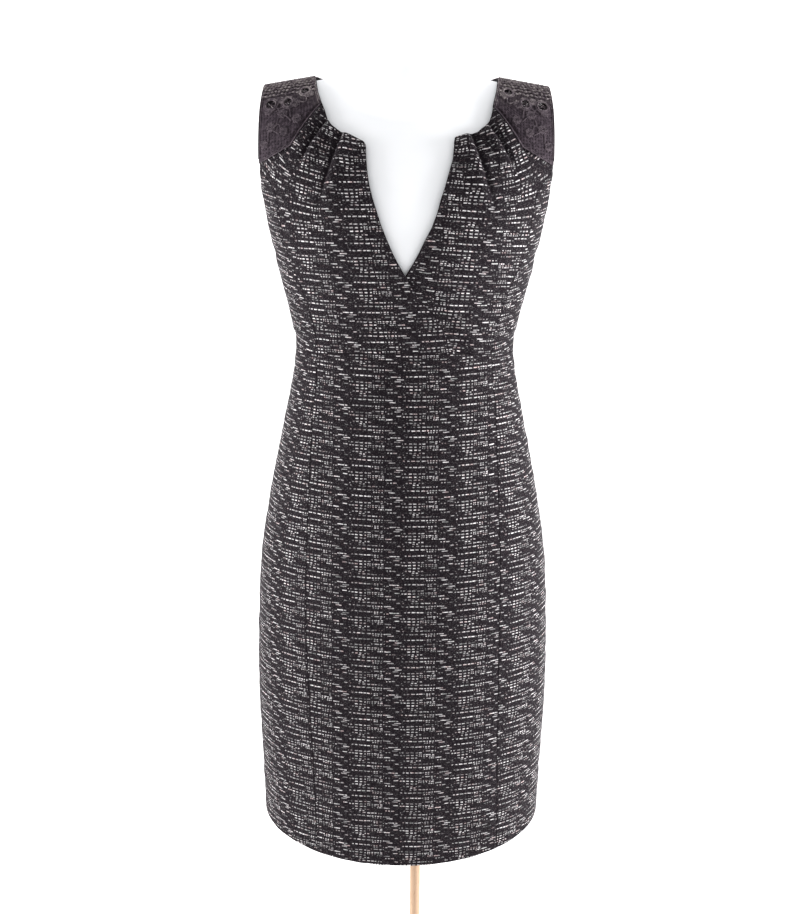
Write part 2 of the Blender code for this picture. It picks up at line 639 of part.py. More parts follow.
def joined(name, makers, material, parent, bevel=0.0):
    """One body from several overlapping shapes, by Boolean union."""
    whole = None
    for i, maker in enumerate(makers):
        mesh = bpy.data.meshes.new(f"{name}_{i}")
        bm = bmesh.new()
        maker(bm)
        bmesh.ops.recalc_face_normals(bm, faces=bm.faces)
        bm.to_mesh(mesh)
        bm.free()
        if whole is None:
            whole = make_object(name, mesh, material)
            whole.parent = parent
            continue
        helper = bpy.data.objects.new(f"{name}_{i}", mesh)
        cutters.objects.link(helper)
        helper.hide_render = True
        helper.display_type = "WIRE"
        helper.parent = parent
        join = whole.modifiers.new(f"join_{i}", "BOOLEAN")
        join.operation = "UNION"
        join.object = helper
    if bevel:
        edge = whole.modifiers.new("edges", "BEVEL")
        edge.width = bevel
        edge.segments = 1
        edge.limit_method = "ANGLE"
    return whole


def rod(radius, length, middle, segments):
    """A maker of a rod along X."""
    place = Matrix.Translation(middle) @ Matrix.Rotation(math.pi / 2, 4, "Y")

    def make(bm):
        bmesh.ops.create_cone(
            bm, cap_ends=True, segments=segments, radius1=radius, radius2=radius, depth=length, matrix=place,
        )
    return make


def make_zip_slider(metal):
    """The slider lies on the cloth. Its frame has Y outwards and Z up along the cloth."""
    run = run_at(SLIDER_Z)
    seam = Vector(skin(math.pi, run))
    normal = Vector(outward(math.pi, run))
    slider_frame = bpy.data.objects.new("slider_frame", None)
    collection.objects.link(slider_frame)
    slider_frame.parent = dress_middle
    slider_frame.location = seam
    slider_frame.rotation_euler = (math.atan2(normal.z, normal.y), 0, 0)

    pin = Vector((0, PIN_HEIGHT, 0))
    lug_middle = EYE_WIDTH / 2 + LUG_GAP + LUG_THICK / 2
    lug_foot = SLIDER_GAP + SLIDER_THICK / 2
    lug_top = PIN_HEIGHT + LUG_OVER_PIN
    body = (SLIDER_WIDTH, SLIDER_THICK, SLIDER_LENGTH)
    lug = (LUG_THICK, lug_top - lug_foot, LUG_LENGTH)
    lug_y = (lug_top + lug_foot) / 2
    makers = [lambda bm: box(bm, body, (0, lug_foot, SLIDER_OVER_PIN))]
    makers += [lambda bm, s=s: box(bm, lug, (s * lug_middle, lug_y, 0)) for s in (-1, 1)]
    makers.append(rod(PIN_RADIUS, 2 * lug_middle, pin, 12))
    joined("zip_slider", makers, metal, slider_frame)

    pull_frame = bpy.data.objects.new("pull_hinge", None)
    collection.objects.link(pull_frame)
    pull_frame.parent = slider_frame
    pull_frame.location = pin
    pull_frame.rotation_euler = (-math.radians(TAB_REST_DEGREES), 0, 0)
    blade = TAB_LENGTH - TAB_NECK
    makers = [
        rod(EYE_OUTER, EYE_WIDTH, (0, 0, 0), 16),
        lambda bm: box(bm, (EYE_WIDTH, TAB_THICK, TAB_NECK), (0, 0, -TAB_NECK / 2 - EYE_INNER)),
        lambda bm: box(bm, (TAB_WIDTH, TAB_THICK, blade), (0, 0, -TAB_NECK - blade / 2)),
    ]
    pull = joined("zip_pull", makers, metal, pull_frame)
    eye = bpy.data.meshes.new("pull_eye")
    bm = bmesh.new()
    rod(EYE_INNER, 3 * EYE_WIDTH, (0, 0, 0), 16)(bm)
    bmesh.ops.recalc_face_normals(bm, faces=bm.faces)
    bm.to_mesh(eye)
    bm.free()
    cutter = bpy.data.objects.new("pull_eye", eye)
    cutters.objects.link(cutter)
    cutter.hide_render = True
    cutter.display_type = "WIRE"
    cutter.parent = pull_frame
    cut = pull.modifiers.new("eye", "BOOLEAN")
    cut.operation = "DIFFERENCE"
    cut.object = cutter


# ------------------------------------------------------------------ materials
def finish(name, colour, roughness, metallic=0.0):
    material = bpy.data.materials.new(name)
    material.use_nodes = True
    shader = material.node_tree.nodes["Principled BSDF"]
    shader.inputs["Base Color"].default_value = (*colour, 1)
    shader.inputs["Roughness"].default_value = roughness
    shader.inputs["Metallic"].default_value = metallic
    return material


def make_dress(cloth, lace, tape, metal):
    over = front_piece(-1, NECK_EDGE_OVER, LAP_EDGE, over_relief)
    under = front_piece(1, NECK_EDGE_UNDER, HIDDEN_EDGE, under_relief)
    cloth_piece("bodice_front_over", over, cloth)
    cloth_piece("bodice_front_under", under, cloth)
    backs = {side: back_piece(side) for side in (-1, 1)}
    for side, word in ((-1, "left"), (1, "right")):
        cloth_piece(f"bodice_side_front_{word}", side_front_piece(side), cloth)
        cloth_piece(f"bodice_back_{word}", backs[side], cloth)
        lace_yoke(side, under if side > 0 else over, backs[side], lace)
    cloth_piece("skirt_front", skirt_piece(left_skirt_seam, right_skirt_seam, SKIRT_FRONT_COLUMNS), cloth)
    cloth_piece("skirt_side_front_left", skirt_piece(None, left_skirt_seam, SKIRT_SIDE_COLUMNS), cloth)
    cloth_piece("skirt_side_front_right", skirt_piece(right_skirt_seam, None, SKIRT_SIDE_COLUMNS), cloth)
    skirt_back_right = skirt_piece(None, left_skirt_seam, SKIRT_BACK_COLUMNS, back=True)
    skirt_back_left = skirt_piece(right_skirt_seam, None, SKIRT_BACK_COLUMNS, back=True)
    cloth_piece("skirt_back_right", skirt_back_right, cloth)
    cloth_piece("skirt_back_left", skirt_back_left, cloth)
    make_zip_tape(skirt_back_right, skirt_back_left, backs[1], backs[-1], tape)
    make_zip_slider(metal)


for old in list(bpy.data.objects):
    bpy.data.objects.remove(old)
collection = bpy.data.collections.new("sheath dress on a dress form")
cutters = bpy.data.collections.new("cutters")
for group in (collection, cutters):
    bpy.context.scene.collection.children.link(group)
dress_middle = bpy.data.objects.new("dress_middle", None)
collection.objects.link(dress_middle)
dress_middle.location = (-POLE_TO_MIDDLE, 0, 0)

make_dress(
    cloth=finish("dark_tweed", (0.045, 0.040, 0.044), 0.85),
    lace=finish("dark_lace", (0.055, 0.045, 0.052), 0.80),
    tape=finish("zip_tape_black", (0.020, 0.018, 0.020), 0.80),
    metal=finish("zip_metal", (0.10, 0.10, 0.11), 0.35, 1.0),
)
make_form(finish("form_white", (0.86, 0.86, 0.87), 0.70))
make_stand(finish("beech", (0.74, 0.54, 0.38), 0.50))
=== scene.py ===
"""The looks of a sheath dress on a dress form: tweed panels, lace yokes, zip, form and stand.

Metres, +Z up, the front faces -Y, and left is -X, as seen from the front. The sizes and the surface
of the dress are those of the part's source. skin(turn, run) gives points of the cloth's outer face:
turn is the angle around the dress, 0 at the centre front and +90 degrees at the right side seam, and
run is the way up the cloth, the height up to the chest and then the way over the shoulder.
"""

from collections import namedtuple
import math

import bmesh
import bpy
from mathutils import Matrix, Vector
import numpy as np


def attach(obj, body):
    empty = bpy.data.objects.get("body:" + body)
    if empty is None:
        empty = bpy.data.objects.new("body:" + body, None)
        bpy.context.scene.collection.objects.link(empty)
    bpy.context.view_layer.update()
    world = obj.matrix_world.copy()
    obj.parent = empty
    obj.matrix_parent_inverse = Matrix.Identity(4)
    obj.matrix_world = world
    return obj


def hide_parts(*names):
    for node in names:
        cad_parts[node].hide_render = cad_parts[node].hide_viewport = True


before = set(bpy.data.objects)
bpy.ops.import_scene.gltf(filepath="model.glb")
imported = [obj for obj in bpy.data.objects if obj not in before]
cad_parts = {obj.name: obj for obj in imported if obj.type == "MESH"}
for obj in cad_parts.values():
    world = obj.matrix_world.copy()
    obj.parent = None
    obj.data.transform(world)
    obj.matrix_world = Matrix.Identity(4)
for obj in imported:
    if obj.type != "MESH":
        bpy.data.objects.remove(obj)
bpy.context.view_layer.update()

# ------------------------------------------------------------------ sizes shared with the solids
MIDDLE_X = -0.020  # the dress and the form stand this far to the left of the pole
LAYER_GAP = 0.0005  # between two layers that lie on each other
WALL = 0.0018  # of the solids' cloth, which the layers under a lap keep clear of
SEAM_GAP = 0.00004  # between two pieces along a seam
RIDGE_GAP = 0.0006  # the same along the ridge of the shoulder, where the cloth bends most
NECK_POINT_Z = 1.424  # the ridge of the shoulder beside the neck
CHEST_Z = 1.300  # where the cloth starts to arch over the shoulder
ARCH_RUN = 0.155  # length of that arch, from the chest to the ridge
TOP_RUN = CHEST_Z + ARCH_RUN
WAIST_SIDE_Z = 1.101
WAIST_RISE_FRONT = 0.012  # the waist seam is this much higher at the middle than at the sides
WAIST_RISE_BACK = 0.004
HEM_SIDE_Z = 0.474
HEM_DROP_FRONT = 0.018  # and the hem this much lower
HEM_DROP_BACK = 0.012
ROUNDNESS = 2.15  # exponent of the sections, where 2 is an ellipse

Section = namedtuple("Section", "height half_width front back")
SECTIONS = (
    Section(0.450, 0.1820, 0.134, 0.134), Section(0.545, 0.1845, 0.141, 0.142),
    Section(0.650, 0.1880, 0.143, 0.148), Section(0.744, 0.1865, 0.143, 0.152),
    Section(0.850, 0.1795, 0.141, 0.152), Section(0.900, 0.1715, 0.137, 0.146),
    Section(0.963, 0.1595, 0.128, 0.130), Section(1.025, 0.1465, 0.116, 0.108),
    Section(1.075, 0.1370, 0.106, 0.097), Section(1.100, 0.1340, 0.103, 0.094),
    Section(1.145, 0.1410, 0.110, 0.099), Section(1.190, 0.1520, 0.124, 0.106),
    Section(1.233, 0.1615, 0.134, 0.112), Section(1.262, 0.1680, 0.134, 0.116),
    Section(1.305, 0.1775, 0.127, 0.119), Section(1.340, 0.1820, 0.116, 0.118),
    Section(1.380, 0.1860, 0.102, 0.113), Section(1.425, 0.1900, 0.088, 0.106),
)
Level = namedtuple("Level", "x height")
SHOULDER_RIDGE = (
    Level(0.0, 1.424), Level(0.085, 1.424), Level(0.100, 1.422), Level(0.170, 1.410), Level(0.190, 1.404),
)
Edge = namedtuple("Edge", "height x")
NECK_EDGE_OVER = (
    Edge(1.207, 0.000), Edge(1.221, 0.008), Edge(1.235, 0.015), Edge(1.249, 0.021), Edge(1.263, 0.027),
    Edge(1.278, 0.032), Edge(1.293, 0.037), Edge(1.308, 0.041), Edge(1.322, 0.0435), Edge(1.337, 0.045),
    Edge(1.351, 0.0455), Edge(1.355, 0.048), Edge(1.360, 0.060), Edge(1.365, 0.0745), Edge(1.371, 0.085),
    Edge(1.378, 0.090), Edge(1.387, 0.093), Edge(1.398, 0.098), Edge(1.410, 0.1025), Edge(1.424, 0.106),
)
NECK_EDGE_UNDER = (
    Edge(1.207, 0.000), Edge(1.221, 0.008), Edge(1.235, 0.015), Edge(1.249, 0.0215), Edge(1.263, 0.029),
    Edge(1.278, 0.0345), Edge(1.293, 0.0385), Edge(1.308, 0.0435), Edge(1.322, 0.0475), Edge(1.337, 0.052),
    Edge(1.351, 0.0535), Edge(1.355, 0.0535), Edge(1.360, 0.0545), Edge(1.365, 0.0800), Edge(1.371, 0.0885),
    Edge(1.378, 0.0945), Edge(1.387, 0.0975), Edge(1.398, 0.0995), Edge(1.410, 0.103), Edge(1.424, 0.106),
)
NECK_EDGE_BACK = (
    Edge(1.383, 0.000), Edge(1.385, 0.018), Edge(1.398, 0.063), Edge(1.410, 0.085), Edge(1.419, 0.098),
    Edge(1.424, 0.106),
)
LAP_EDGE = (Edge(1.101, 0.0600), Edge(1.150, 0.0345), Edge(1.178, 0.0168), Edge(1.207, 0.0))
HIDDEN_EDGE = (Edge(1.101, -0.0300), Edge(1.207, 0.0))  # of the under layer, behind the lap
V_POINT_Z = 1.207
V_FADE = 0.030  # over this height the two layers part at the point of the V
LAP_TUCK = 0.012  # the under layer stays sunk this far past the lap's edge
LAP_RISE = 0.018  # and is back at the surface after this much more
PRINCESS_SEAM = (
    Edge(1.101, 0.1030), Edge(1.126, 0.1050), Edge(1.146, 0.1100), Edge(1.166, 0.1150), Edge(1.187, 0.1220),
    Edge(1.207, 0.1310), Edge(1.235, 0.1415), Edge(1.263, 0.1455), Edge(1.293, 0.1500), Edge(1.308, 0.1590),
    Edge(1.322, 0.1705),
)
SIDE_TIP_Z = 1.322  # where the princess seam runs into the armhole
SKIRT_SEAM = (
    Edge(0.450, 0.1150), Edge(0.610, 0.1160), Edge(0.757, 0.1180), Edge(0.859, 0.1175), Edge(0.977, 0.1125),
    Edge(1.037, 0.1100), Edge(1.063, 0.1065), Edge(1.115, 0.1030),
)
HEM_DRIFT = 0.009  # the skirt's front seams drift this far to the right, down to DRIFT_END_Z
DRIFT_START_Z = 0.757
DRIFT_END_Z = 0.450
Armhole = namedtuple("Armhole", "height degrees_from_side")
ARMHOLE = (
    Armhole(1.235, 0.0), Armhole(1.239, 3.8), Armhole(1.249, 7.2), Armhole(1.263, 10.0),
    Armhole(1.278, 12.3), Armhole(1.293, 14.2), Armhole(1.308, 16.0), Armhole(1.322, 17.5),
    Armhole(1.351, 20.3), Armhole(1.378, 22.5), Armhole(1.398, 24.3), Armhole(1.424, 27.5),
)
UNDERARM_Z = 1.235

Pleat = namedtuple("Pleat", "top_x top_z foot_x foot_z depth width")
PLEATS = (  # from the centre outwards, the same on both sides
    Pleat(0.0740, 1.363, 0.1010, 1.268, 0.0052, 0.0095),
    Pleat(0.0925, 1.376, 0.1260, 1.315, 0.0058, 0.0095),
    Pleat(0.0965, 1.398, 0.1400, 1.333, 0.0040, 0.0090),
)
PLEAT_RIDGE = 1.25  # height of a pleat's fold and depth of the crease beside it, as shares of its depth
PLEAT_CREASE = 0.95
CREASE_NARROWING = 3.0  # the crease is this many times narrower than the fold
CREASE_SHADE = 0.92  # how dark the painted shade in the crease gets: how far the cloth there is out of the light
SHADED_DEPTH = 0.004  # of the pleats that have all of that shade
PLEAT_CURVE = 1.5  # the pleats fan out fast at the neckline and straighten below
PLEAT_FADE_FROM = 0.34  # share of its length, from the neckline, that keeps the whole depth
PLEAT_AT_EDGE = 0.35  # share of a pleat's depth on the neckline itself
PLEAT_GROWTH = 0.012  # and it has its whole depth this far from there

Hole = namedtuple("Hole", "x degrees_over width length")  # over the shoulder: 90 is its ridge
LACE_HOLES = (
    Hole(0.1165, 63.0, 0.0105, 0.0120), Hole(0.1360, 54.0, 0.0105, 0.0130),
    Hole(0.1565, 54.0, 0.0118, 0.0140), Hole(0.1245, 84.0, 0.0075, 0.0105),
    Hole(0.1450, 84.0, 0.0075, 0.0105), Hole(0.1180, 108.0, 0.0080, 0.0110),
    Hole(0.1360, 112.0, 0.0080, 0.0110), Hole(0.1530, 108.0, 0.0075, 0.0105),
)
Corner = namedtuple("Corner", "x height")
LACE_LOWER_EDGE = (Corner(0.0960, 1.397), Corner(0.1310, 1.351), Corner(0.1750, 1.325))
LACE_BACK_Z = 1.385  # lower edge of the lace on the back
LACE_CORNER_Z = 1.393  # where the lower edge meets the neckline

# ------------------------------------------------------------------ cloth as it is cut and turned
TWEED_THICK = 0.0008
ROLL = 0.0010  # radius of the cloth where it turns in
SEAM_TURNING = 0.0035  # how deep a seam's turnings reach in; they lie shallower at the shoulder
SHOULDER_TURNING = 0.0006
SHALLOW_FROM_Z = 1.330  # the seams' turnings get shallower from here
SHALLOW_RISE = 0.050  # up to this much higher
ZIP_TURNING = 0.0006  # and beside the zip's tape
EDGE_TURNING = 0.009  # turned under at the neck and the armholes
WAIST_EASE = 0.100  # over this height the bodice's rows go over from the waist seam's line to level
HEM_TURNING = 0.030
ROLL_STEPS = (0.0, 0.08, 0.26, 0.56, 1.0)  # lines of points across the roll, as shares of it
TURNING_STEPS = len(ROLL_STEPS) + 1  # lines past the edge: those of the roll and two more
SKIRT_STEP = 0.0044  # between lines of points
BODICE_STEP = 0.0017
SIDE_STEP = 0.0030
TURN_NUDGE = 1e-3  # a small turn, to measure directions and lengths with


def new_object(name, data):
    thing = bpy.data.objects.new(name, data)
    bpy.context.scene.collection.objects.link(thing)
    return thing


# ------------------------------------------------------------------ reading the tables
def column(table, name):
    return np.array([getattr(row, name) for row in table])


def smooth(table, name, height):
    """A column of a table at any height, on a smooth curve through its rows."""
    at = column(table, "height")
    value = column(table, name)
    slope = np.gradient(value, at)
    height = np.clip(height, at[0], at[-1])
    i = np.clip(np.searchsorted(at, height) - 1, 0, len(at) - 2)
    step = at[i + 1] - at[i]
    t = (height - at[i]) / step
    start = (2 * t**3 - 3 * t**2 + 1) * value[i] + (t**3 - 2 * t**2 + t) * step * slope[i]
    end = (3 * t**2 - 2 * t**3) * value[i + 1] + (t**3 - t**2) * step * slope[i + 1]
    return start + end


def edge_x(table, height):
    return np.interp(height, column(table, "height"), column(table, "x"))


def ease(t):
    """0 below 0, 1 above 1, and a soft step between."""
    t = np.clip(t, 0.0, 1.0)
    return t * t * (3 - 2 * t)


# ------------------------------------------------------------------ the surface of the dress
def ridge(x):
    return np.interp(np.abs(x), column(SHOULDER_RIDGE, "x"), column(SHOULDER_RIDGE, "height"))


def arch(run):
    return np.clip((run - CHEST_Z) / ARCH_RUN, 0.0, 1.0) * math.pi / 2


def run_at(height):
    over = np.clip((np.asarray(height, float) - CHEST_Z) / (NECK_POINT_Z - CHEST_Z), 0.0, 1.0)
    return np.minimum(height, CHEST_Z) + ARCH_RUN * np.arcsin(over) / (math.pi / 2)


def height_at(run):
    return np.minimum(run, CHEST_Z) + (NECK_POINT_Z - CHEST_Z) * np.sin(arch(run))


def skin(turn, run, clearance=0.0, seat=0.0, widest=1.0):
    """Points of the dress's outer face about its own middle, or of a smaller surface inside it."""
    height = height_at(run)
    half_width = np.minimum(smooth(SECTIONS, "half_width", height) - clearance, widest)
    front = smooth(SECTIONS, "front", height) - clearance
    back = smooth(SECTIONS, "back", height) - clearance
    across = np.sin(turn)
    x = half_width * across
    z = np.minimum(run, CHEST_Z) + (ridge(x) - seat - CHEST_Z) * np.sin(arch(run))
    depth = np.maximum(0.0, 1 - np.abs(across) ** ROUNDNESS) ** (1 / ROUNDNESS) * np.cos(arch(run))
    y = np.where(np.cos(turn) >= 0, -front * depth, back * depth)
    return np.stack([x, y, z], axis=-1)


def outward(turn, run):
    """Unit normals of the dress's surface."""
    step = 1e-4
    upper = np.minimum(run + step, TOP_RUN)
    around = skin(turn + step, run) - skin(turn - step, run)
    up = skin(turn, upper) - skin(turn, upper - 2 * step)
    normal = np.cross(around, up)
    return normal / np.linalg.norm(normal, axis=-1, keepdims=True)


def turn_at(x, height, back=False):
    angle = np.arcsin(np.clip(x / smooth(SECTIONS, "half_width", height), -1, 1))
    return math.pi - angle if back else angle


def waist_z(turn):
    rise = np.where(np.cos(turn) >= 0, WAIST_RISE_FRONT, WAIST_RISE_BACK)
    return WAIST_SIDE_Z + rise * np.cos(turn) ** 2


def hem_z(turn):
    drop_here = np.where(np.cos(turn) >= 0, HEM_DROP_FRONT, HEM_DROP_BACK)
    return HEM_SIDE_Z - drop_here * np.cos(turn) ** 2


def armhole_turn(heights):
    degrees = np.interp(heights, column(ARMHOLE, "height"), column(ARMHOLE, "degrees_from_side"))
    return np.radians(90 - degrees)


def length(steps):
    return np.linalg.norm(steps, axis=-1)


def unit(steps):
    return steps / np.maximum(length(steps), 1e-12)[..., None]


def way_round(start, end, run, samples=48):
    """Length of the cloth from one turn to another at each run."""
    share = np.linspace(0, 1, samples)[None, :]
    turn = start[:, None] + (end - start)[:, None] * share
    points = skin(turn, np.repeat(run[:, None], samples, axis=1))
    return length(np.diff(points, axis=1)).sum(axis=1) * np.sign(end - start)


def climb(turn, run):
    """Length of the cloth from the chest up to each run, and below the chest down the middle's profile."""
    below_hem_z = 0.44
    samples = np.linspace(0, 1, 14)
    above = np.maximum(run, CHEST_Z)[..., None]
    points = skin(turn[..., None] + 0 * above, CHEST_Z + (above - CHEST_Z) * samples)
    way_up = length(np.diff(points, axis=-2)).sum(axis=-1)
    heights = np.linspace(below_hem_z, CHEST_Z, 400)
    slope = np.gradient(smooth(SECTIONS, "front", heights), heights)
    profile = np.concatenate([[0], np.cumsum(np.sqrt(1 + slope[1:] ** 2) * np.diff(heights))])
    return way_up + np.interp(np.minimum(run, CHEST_Z), heights, profile - profile[-1])


# ------------------------------------------------------------------ folds and creases
def pleat_line(pleat, height):
    """The x of a pleat's crease, and how far down the pleat this height is."""
    t = (pleat.top_z - height) / (pleat.top_z - pleat.foot_z)
    spread = np.where(t < 0, PLEAT_CURVE * t, 1 - np.clip(1 - t, 0, None) ** PLEAT_CURVE)
    return pleat.top_x + (pleat.foot_x - pleat.top_x) * spread, t


def pleat_parts(x, height):
    """For each pleat its depth here, its rounded fold and its narrow crease."""
    for pleat in PLEATS:
        line, t = pleat_line(pleat, height)
        off = (np.abs(x) - line) / pleat.width
        depth = pleat.depth * (1 - ease((t - PLEAT_FADE_FROM) / (1 - PLEAT_FADE_FROM)))
        yield depth, np.exp(-((off + 1.0) ** 2)), np.exp(-((CREASE_NARROWING * off) ** 2))


def pleat_relief(x, height, neck_edge):
    relief = np.zeros(np.broadcast(x, height).shape)
    for depth, fold, crease in pleat_parts(x, height):
        relief += depth * (PLEAT_RIDGE * fold - PLEAT_CREASE * crease)
    grown = ease((np.abs(x) - edge_x(neck_edge, height)) / PLEAT_GROWTH)
    return relief * (PLEAT_AT_EDGE + (1 - PLEAT_AT_EDGE) * grown)


def pleat_shade(points):
    """Painted shade, 1 in the bottom of a pleat's crease, where the cloth is tucked under, and 0 away from
    it.
    """
    x, height = points[..., 0], points[..., 2]
    shade = np.zeros(x.shape)
    for depth, _, crease in pleat_parts(x, height):
        shade = np.maximum(shade, crease * np.clip(depth / SHADED_DEPTH, 0, 1))
    return np.where(points[..., 1] < 0, shade * CREASE_SHADE, 0.0)


Crease = namedtuple("Crease", "x height long degrees depth wide")
FRONT_CREASES = (
    Crease(-0.128, 1.118, 0.040, 8, 0.0016, 0.0060), Crease(0.126, 1.122, 0.046, -10, 0.0014, 0.0065),
    Crease(-0.118, 1.140, 0.030, 14, 0.0010, 0.0050), Crease(0.120, 1.146, 0.026, -16, 0.0009, 0.0055),
    Crease(-0.060, 1.092, 0.050, 3, 0.0010, 0.0070), Crease(0.070, 1.090, 0.044, -4, 0.0009, 0.0070),
    Crease(-0.120, 1.075, 0.036, -9, 0.0012, 0.0060), Crease(0.118, 1.070, 0.040, 12, 0.0012, 0.0065),
    Crease(-0.090, 0.960, 0.090, 82, 0.0010, 0.0160), Crease(0.085, 0.930, 0.110, 98, 0.0010, 0.0180),
    Crease(-0.040, 0.560, 0.150, 88, 0.0016, 0.0220), Crease(0.062, 0.545, 0.140, 92, 0.0018, 0.0240),
    Crease(-0.118, 0.570, 0.130, 86, 0.0014, 0.0200), Crease(0.130, 0.590, 0.120, 95, 0.0013, 0.0200),
    Crease(-0.148, 1.225, 0.034, 38, 0.0016, 0.0065), Crease(0.150, 1.222, 0.030, -42, 0.0015, 0.0065),
)
BACK_CREASES = (
    Crease(-0.040, 1.130, 0.060, 5, 0.0020, 0.0080), Crease(0.050, 1.118, 0.055, -6, 0.0018, 0.0080),
    Crease(-0.080, 1.152, 0.040, 10, 0.0014, 0.0070), Crease(0.078, 1.160, 0.044, -8, 0.0013, 0.0070),
    Crease(-0.070, 1.080, 0.050, -5, 0.0014, 0.0070), Crease(0.060, 1.076, 0.050, 7, 0.0013, 0.0075),
    Crease(-0.128, 1.235, 0.050, 30, 0.0016, 0.0080), Crease(0.126, 1.240, 0.046, -32, 0.0016, 0.0080),
    Crease(-0.060, 0.580, 0.150, 90, 0.0018, 0.0240), Crease(0.055, 0.560, 0.150, 87, 0.0018, 0.0240),
    Crease(-0.020, 0.770, 0.050, 24, 0.0012, 0.0120), Crease(0.030, 0.760, 0.050, -28, 0.0012, 0.0120),
)
CREASE_RIDGE = 0.55  # height of the ridge beside a crease, as a share of its depth
RIDGE_OFF = 1.5  # the ridge's distance from it, in the crease's widths
CREASE_ENDS = 1.4  # how fast a crease runs out at its ends
Wave = namedtuple("Wave", "across up phase")
HAND_WAVES = (
    Wave(0.037, 0.021, 0.4), Wave(0.023, -0.031, 1.7), Wave(0.061, 0.044, 2.6), Wave(-0.029, 0.052, 4.1),
)
HAND_DEPTH = 0.00016


def crease_relief(x, height, creases):
    """Soft troughs, each with a low ridge beside it, and the slight unevenness of sewn cloth."""
    relief = np.zeros(np.broadcast(x, height).shape)
    for crease in creases:
        angle = math.radians(crease.degrees)
        dx, dz = x - crease.x, height - crease.height
        along = (dx * math.cos(angle) + dz * math.sin(angle)) / (crease.long / 2)
        off = (dz * math.cos(angle) - dx * math.sin(angle)) / crease.wide
        shape = np.exp(-(off**2)) - CREASE_RIDGE * np.exp(-((off - RIDGE_OFF) ** 2))
        relief -= crease.depth * shape * np.exp(-(along**2) * CREASE_ENDS)
    for wave in HAND_WAVES:
        relief += HAND_DEPTH * np.sin(2 * math.pi * (x / wave.across + height / wave.up) + wave.phase)
    return relief


def over_relief(x, height):
    return pleat_relief(x, height, NECK_EDGE_OVER) + crease_relief(x, height, FRONT_CREASES)


def under_relief(x, height):
    """The under layer sinks below the lap, and comes back to the surface beside its edge."""
    beside = x - edge_x(LAP_EDGE, height)
    near_v = 1 - ease((height - V_POINT_Z) / V_FADE)
    lap = (WALL + LAYER_GAP) * (1 - ease((beside - LAP_TUCK) / LAP_RISE)) * near_v
    shown = ease(beside / LAP_TUCK)
    return pleat_relief(x, height, NECK_EDGE_UNDER) + crease_relief(x, height, FRONT_CREASES) * shown - lap


def front_relief(x, height):
    return crease_relief(x, height, FRONT_CREASES)


def back_relief(x, height):
    return crease_relief(x, height, BACK_CREASES)


# ------------------------------------------------------------------ cut pieces
def even_steps(start, end, step):
    count = max(2, round(abs(end - start) / step) + 1)
    return np.linspace(start, end, count)


def drop(distance):
    """How far the cloth's face lies below the panel, this far in from an edge that rolls in."""
    inside = np.clip(ROLL - distance, 0, ROLL)
    return ROLL - np.sqrt(ROLL**2 - inside**2)


def fine_heights(edge, low, high, step):
    """Heights that are one step apart along an edge, also where it runs nearly level."""
    heights = np.linspace(low, high, 4000)
    way = np.concatenate([[0], np.cumsum(np.hypot(np.diff(heights), np.diff(edge_x(edge, heights))))])
    inner = np.interp(even_steps(0, way[-1], step), way, heights)
    near = np.array(ROLL_STEPS) * ROLL
    clear = 1.5 * ROLL
    inner = inner[(inner > low + clear) & (inner < high - clear)]
    return np.concatenate([low + near, inner, high - near[::-1]])


def slant(edge_points, row_direction):
    """Sine of the angle between an edge and the rows that end on it, at least that of 20 degrees."""
    along = unit(np.gradient(edge_points, axis=0))
    return np.clip(length(np.cross(along, row_direction)), 0.34, 1.0)


